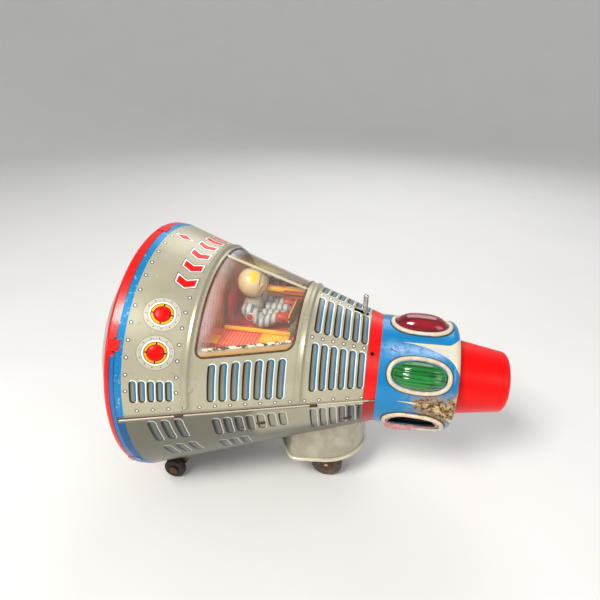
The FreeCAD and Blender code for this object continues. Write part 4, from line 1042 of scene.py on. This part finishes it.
def make_arms():
    """Each side's striped sleeve, glove, three fingers and shoulder badge."""
    low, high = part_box("astronaut_arms")
    for near, label in SIDES:
        side = -near
        edge = low.y if side < 0 else high.y
        shoulder = Vector((low.x + 4.4 * MM, edge - side * 4.0 * MM, high.z - 4.4 * MM))
        elbow = shoulder + Vector((10.0, side * 0.6, -7.5)) * MM
        wrist = elbow + Vector((10.0, -side * 1.6, 3.4)) * MM
        path = smooth_path([shoulder, (shoulder + elbow) / 2, elbow, (elbow + wrist) / 2, wrist], 7)
        count = len(path)
        radii = [5.0 - 1.4 * i / count + 0.3 * math.sin(i * 1.5) for i in range(count)]
        stands_for = ["astronaut_arms"] if side < 0 else []
        sleeve = tube(path, radii, 24)
        piece(f"astronaut_sleeve_{label}", sleeve, "sleeve", replaces=stands_for)
        palm = tube([wrist + Vector((d, 0, d * 0.25)) * MM for d in (0.5, 2.2, 4.0)], [3.4, 4.2, 3.4], 20)
        piece(f"astronaut_glove_{label}", palm, "orange")
        for finger in range(3):
            base = wrist + Vector((4.4, (finger - 1) * 2.5, 1.4)) * MM
            bends = [base + Vector((out, 0, up)) * MM for out, up in ((0.0, 0.0), (2.0, 0.6), (3.0, -1.4))]
            reach = tube(smooth_path(bends, 5), 1.3, 12)
            piece(f"astronaut_finger_{label}_{finger}", reach, "orange")
        badge = shoulder + Vector((2.4, side * 4.7, -2.6)) * MM
        for part, radius, lift, colour in (("ring", 3.1, 0.1, "white_ring"), ("disc", 2.2, 0.5, "red_badge")):
            profile = [(lift - 0.5, radius), (lift, radius), (lift + 0.25, radius - 0.4), (lift + 0.3, 0.02)]
            disc = lathe(profile, badge, (0, side, 0.1), 32, closed=False)
            piece(f"sleeve_badge_{part}_{label}", disc, colour)


def make_legs():
    """Two striped legs that taper towards the nose."""
    low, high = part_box("astronaut_legs")
    middle = (low + high) / 2
    for sign, label in SIDES:
        stops = ((low.x, 0.0), (middle.x, 0.3), (high.x - 2.5 * MM, 0.2))
        path = smooth_path([Vector((x, middle.y - sign * 5 * MM, middle.z + up * MM)) for x, up in stops])
        leg = tube(path, [3.8 - 0.5 * i / len(path) for i in range(len(path))], 24)
        stands_for = ["astronaut_legs"] if sign > 0 else []
        piece(f"astronaut_leg_{label}", leg, "sleeve", replaces=stands_for)


# ---- cockpit ----


def cockpit_block(name, stations, sides, levels, material):
    """A small block with rounded edges between two stations, two distances and two levels."""
    ends = [cockpit_point(*end) for end in zip(stations, sides, levels)]
    low, high = Vector(map(min, *ends)), Vector(map(max, *ends))
    points = [Vector((x, y, z)) for x in (low.x, high.x) for y in (low.y, high.y) for z in (low.z, high.z)]
    faces = [(0, 1, 3, 2), (4, 6, 7, 5), (0, 4, 5, 1), (2, 3, 7, 6), (0, 2, 6, 4), (1, 5, 7, 3)]
    made = piece(name, (points, faces), material, smooth=False)
    add_modifier(made, "BEVEL", width=0.3 * MM, segments=2)


def make_cockpit_trim():
    """Coloured rails and blocks on both sides of the cockpit, strips on the desk and a bar above."""
    for side, label in SIDES:
        cockpit_block(f"console_rail_{label}", (56, 100), (side * 27.5, side * 30.4), (35.0, 36.6), "yellow")
        cockpit_block(f"console_front_{label}", (82, 100), (side * 30.6, side * 41), (34.0, 35.2), "yellow")
        cockpit_block(f"console_rear_{label}", (50.6, 56), (side * 36, side * 46), (32.5, 33.4), "yellow")
    for strip, (level, material) in enumerate(((38.3, "yellow"), (36.6, "red_badge"), (34.9, "white_ring"))):
        cockpit_block(f"desk_strip_{strip}", (95, 96), (-16, 14), (level, level + 1.3), material)
    cockpit_block("roof_bar", (76, 103), (-8, -4.5), (48.5, 50.5), "yellow")
    cockpit_block("roof_bar_edge", (88, 103), (-4.4, -3.2), (48.6, 50.3), "orange")


# ---- wheels ----


def tyre(name, node, body, material, groove):
    """A rubber roller with rounded shoulders and two moulded grooves."""
    low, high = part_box(node)
    radius = (high.z - low.z) / 2 / MM
    half = (high.y - low.y) / 2 / MM
    bore = 0.115 * radius + 0.4
    shoulder = 0.16 * radius
    hollow = -half + 0.3
    profile = [(hollow, bore), (hollow, radius * 0.45), (-half, radius * 0.5), (-half, radius * 0.8)]
    for turn in spread(0.0, math.pi / 2, 6):
        profile.append((-half + shoulder * (1 - math.cos(turn)), radius - shoulder * (1 - math.sin(turn))))
    for along, deep in ((-1.0, 0.0), (-0.4, 1.0), (0.4, 1.0), (1.0, 0.0)):
        profile.append((half * -0.35 + groove * along, radius - groove * deep))
    profile += [(-along, out) for along, out in reversed(profile)]
    shape = lathe(profile, (low + high) / 2, (0, 1, 0), 72)
    piece(name, shape, material, body=body, replaces=[node])


def outer_face(node, side):
    """The middle of a wheel's outer face and the direction that it faces, on one side."""
    low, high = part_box(node)
    middle = (low + high) / 2
    middle.y = low.y if side > 0 else high.y
    return middle, (0, -side, 0)


def make_wheels():
    """The four rollers, the rear ones' rusty eyelets and the drive wheels' hubs."""
    eyelet = [(-4.6, 1.45), (0.5, 1.45), (0.5, 3.1), (0.9, 3.2),
              (1.2, 2.9), (1.25, 1.6), (0.7, 1.1), (0.6, 0.02)]
    hub = [(-0.2, 4.4), (0.35, 4.2), (0.6, 3.4), (0.5, 2.4), (0.9, 2.0), (0.9, 1.35), (-0.2, 1.35)]
    for side, label in SIDES:
        rear, drive = f"rear_wheel_{label}", f"drive_wheel_{label}"
        tyre(f"rear_tyre_{label}", rear, rear, "rubber", 0.18)
        tyre(f"drive_tyre_{label}", drive, "drive_wheels", "dusty_rubber", 0.3)
        stands_for = ["rear_axle_pins"] if side > 0 else []
        shape = lathe(eyelet, *outer_face(rear, side), 40, closed=False)
        piece(f"rear_eyelet_{label}", shape, "rusty_brass", replaces=stands_for)
        shape = lathe(hub, *outer_face(drive, side), 40)
        piece(f"drive_hub_{label}", shape, "rusty_brass", body="drive_wheels")


# ---- stage, light and camera ----


def make_stage():
    """A pale round floor that curves up far from the object."""
    paint = Paint("pale_floor")
    cloud = paint.noise(120.0, 2.0)
    paint.set("Base Color", paint.mix(cloud, (226, 225, 222), (232, 231, 228)))
    paint.set("Roughness", cloud * 0.1 + 0.75)
    flat, rise, height, around = 1500.0, 900.0, 900.0, 96
    profile = [(0.0, 1.0), (0.0, flat)]
    for turn in spread(0.0, math.pi / 2, 12)[1:]:
        profile.append((height * (1 - math.cos(turn)), flat + rise * math.sin(turn)))
    points, faces = lathe(profile, Vector((0, 0, 0)), (0, 0, 1), around, closed=False)
    faces.append(tuple(range(around)))
    mesh = bpy.data.meshes.new("floor")
    mesh.from_pydata([tuple(p) for p in points], [], faces)
    mesh.shade_smooth()
    mesh.materials.append(paint.material)
    floor = bpy.data.objects.new("floor", mesh)
    bpy.context.scene.collection.objects.link(floor)


def area_light(name, place, size, power, colour=(1.0, 1.0, 1.0)):
    """A square light that faces the middle of the capsule."""
    aim = Vector((0.0, 0.0, 0.09))
    data = bpy.data.lights.new(name, "AREA")
    data.size = size
    data.energy = power
    data.color = colour
    made = bpy.data.objects.new(name, data)
    made.location = place
    made.rotation_mode = "QUATERNION"
    made.rotation_quaternion = (aim - Vector(place)).to_track_quat("-Z", "Y")
    bpy.context.scene.collection.objects.link(made)


def make_light():
    world = bpy.data.worlds.new("studio")
    world.use_nodes = True
    sky = world.node_tree.nodes["Background"].inputs
    sky["Color"].default_value = (0.93, 0.95, 1.0, 1.0)
    sky["Strength"].default_value = 0.42
    bpy.context.scene.world = world
    area_light("key", (-0.35, -0.7, 0.95), 0.35, 13.0, (1.0, 0.98, 0.94))
    area_light("fill", (0.95, -0.6, 0.55), 0.6, 3.0)
    area_light("back", (0.1, 0.9, 0.9), 0.8, 5.0)


def make_camera():
    """A short lens close to the object, a little to its front and well above it."""
    heading, pitch, roll = math.radians(-10.93), math.radians(-27.19), math.radians(1.01)
    reach = math.cos(pitch)
    ahead = Vector((math.sin(heading) * reach, math.cos(heading) * reach, math.sin(pitch)))
    level = ahead.cross(Vector((0, 0, 1))).normalized()
    over = level.cross(ahead)
    right = level * math.cos(roll) + over * math.sin(roll)
    up = right.cross(ahead)
    data = bpy.data.cameras.new("main_camera")
    data.sensor_width = 36.0
    data.lens = 28.16
    data.clip_start = 0.01
    camera = bpy.data.objects.new("main_camera", data)
    turn = Matrix((right, up, -ahead)).transposed().to_4x4()
    camera.matrix_world = Matrix.Translation((RIM_X + 0.1543, -0.2799, 0.286)) @ turn
    bpy.context.scene.collection.objects.link(camera)
    bpy.context.scene.camera = camera
    bpy.context.scene.view_settings.view_transform = "Standard"


make_camera()
make_stage()
make_light()
dress_nodes()
make_lenses()
make_canopy()
make_bumps()
make_seam()
make_fairing_bead()
make_helmet()
make_chest()
make_arms()
make_legs()
make_cockpit_trim()
make_wheels()


def corners(box):
    return [list(corner) for corner in box]
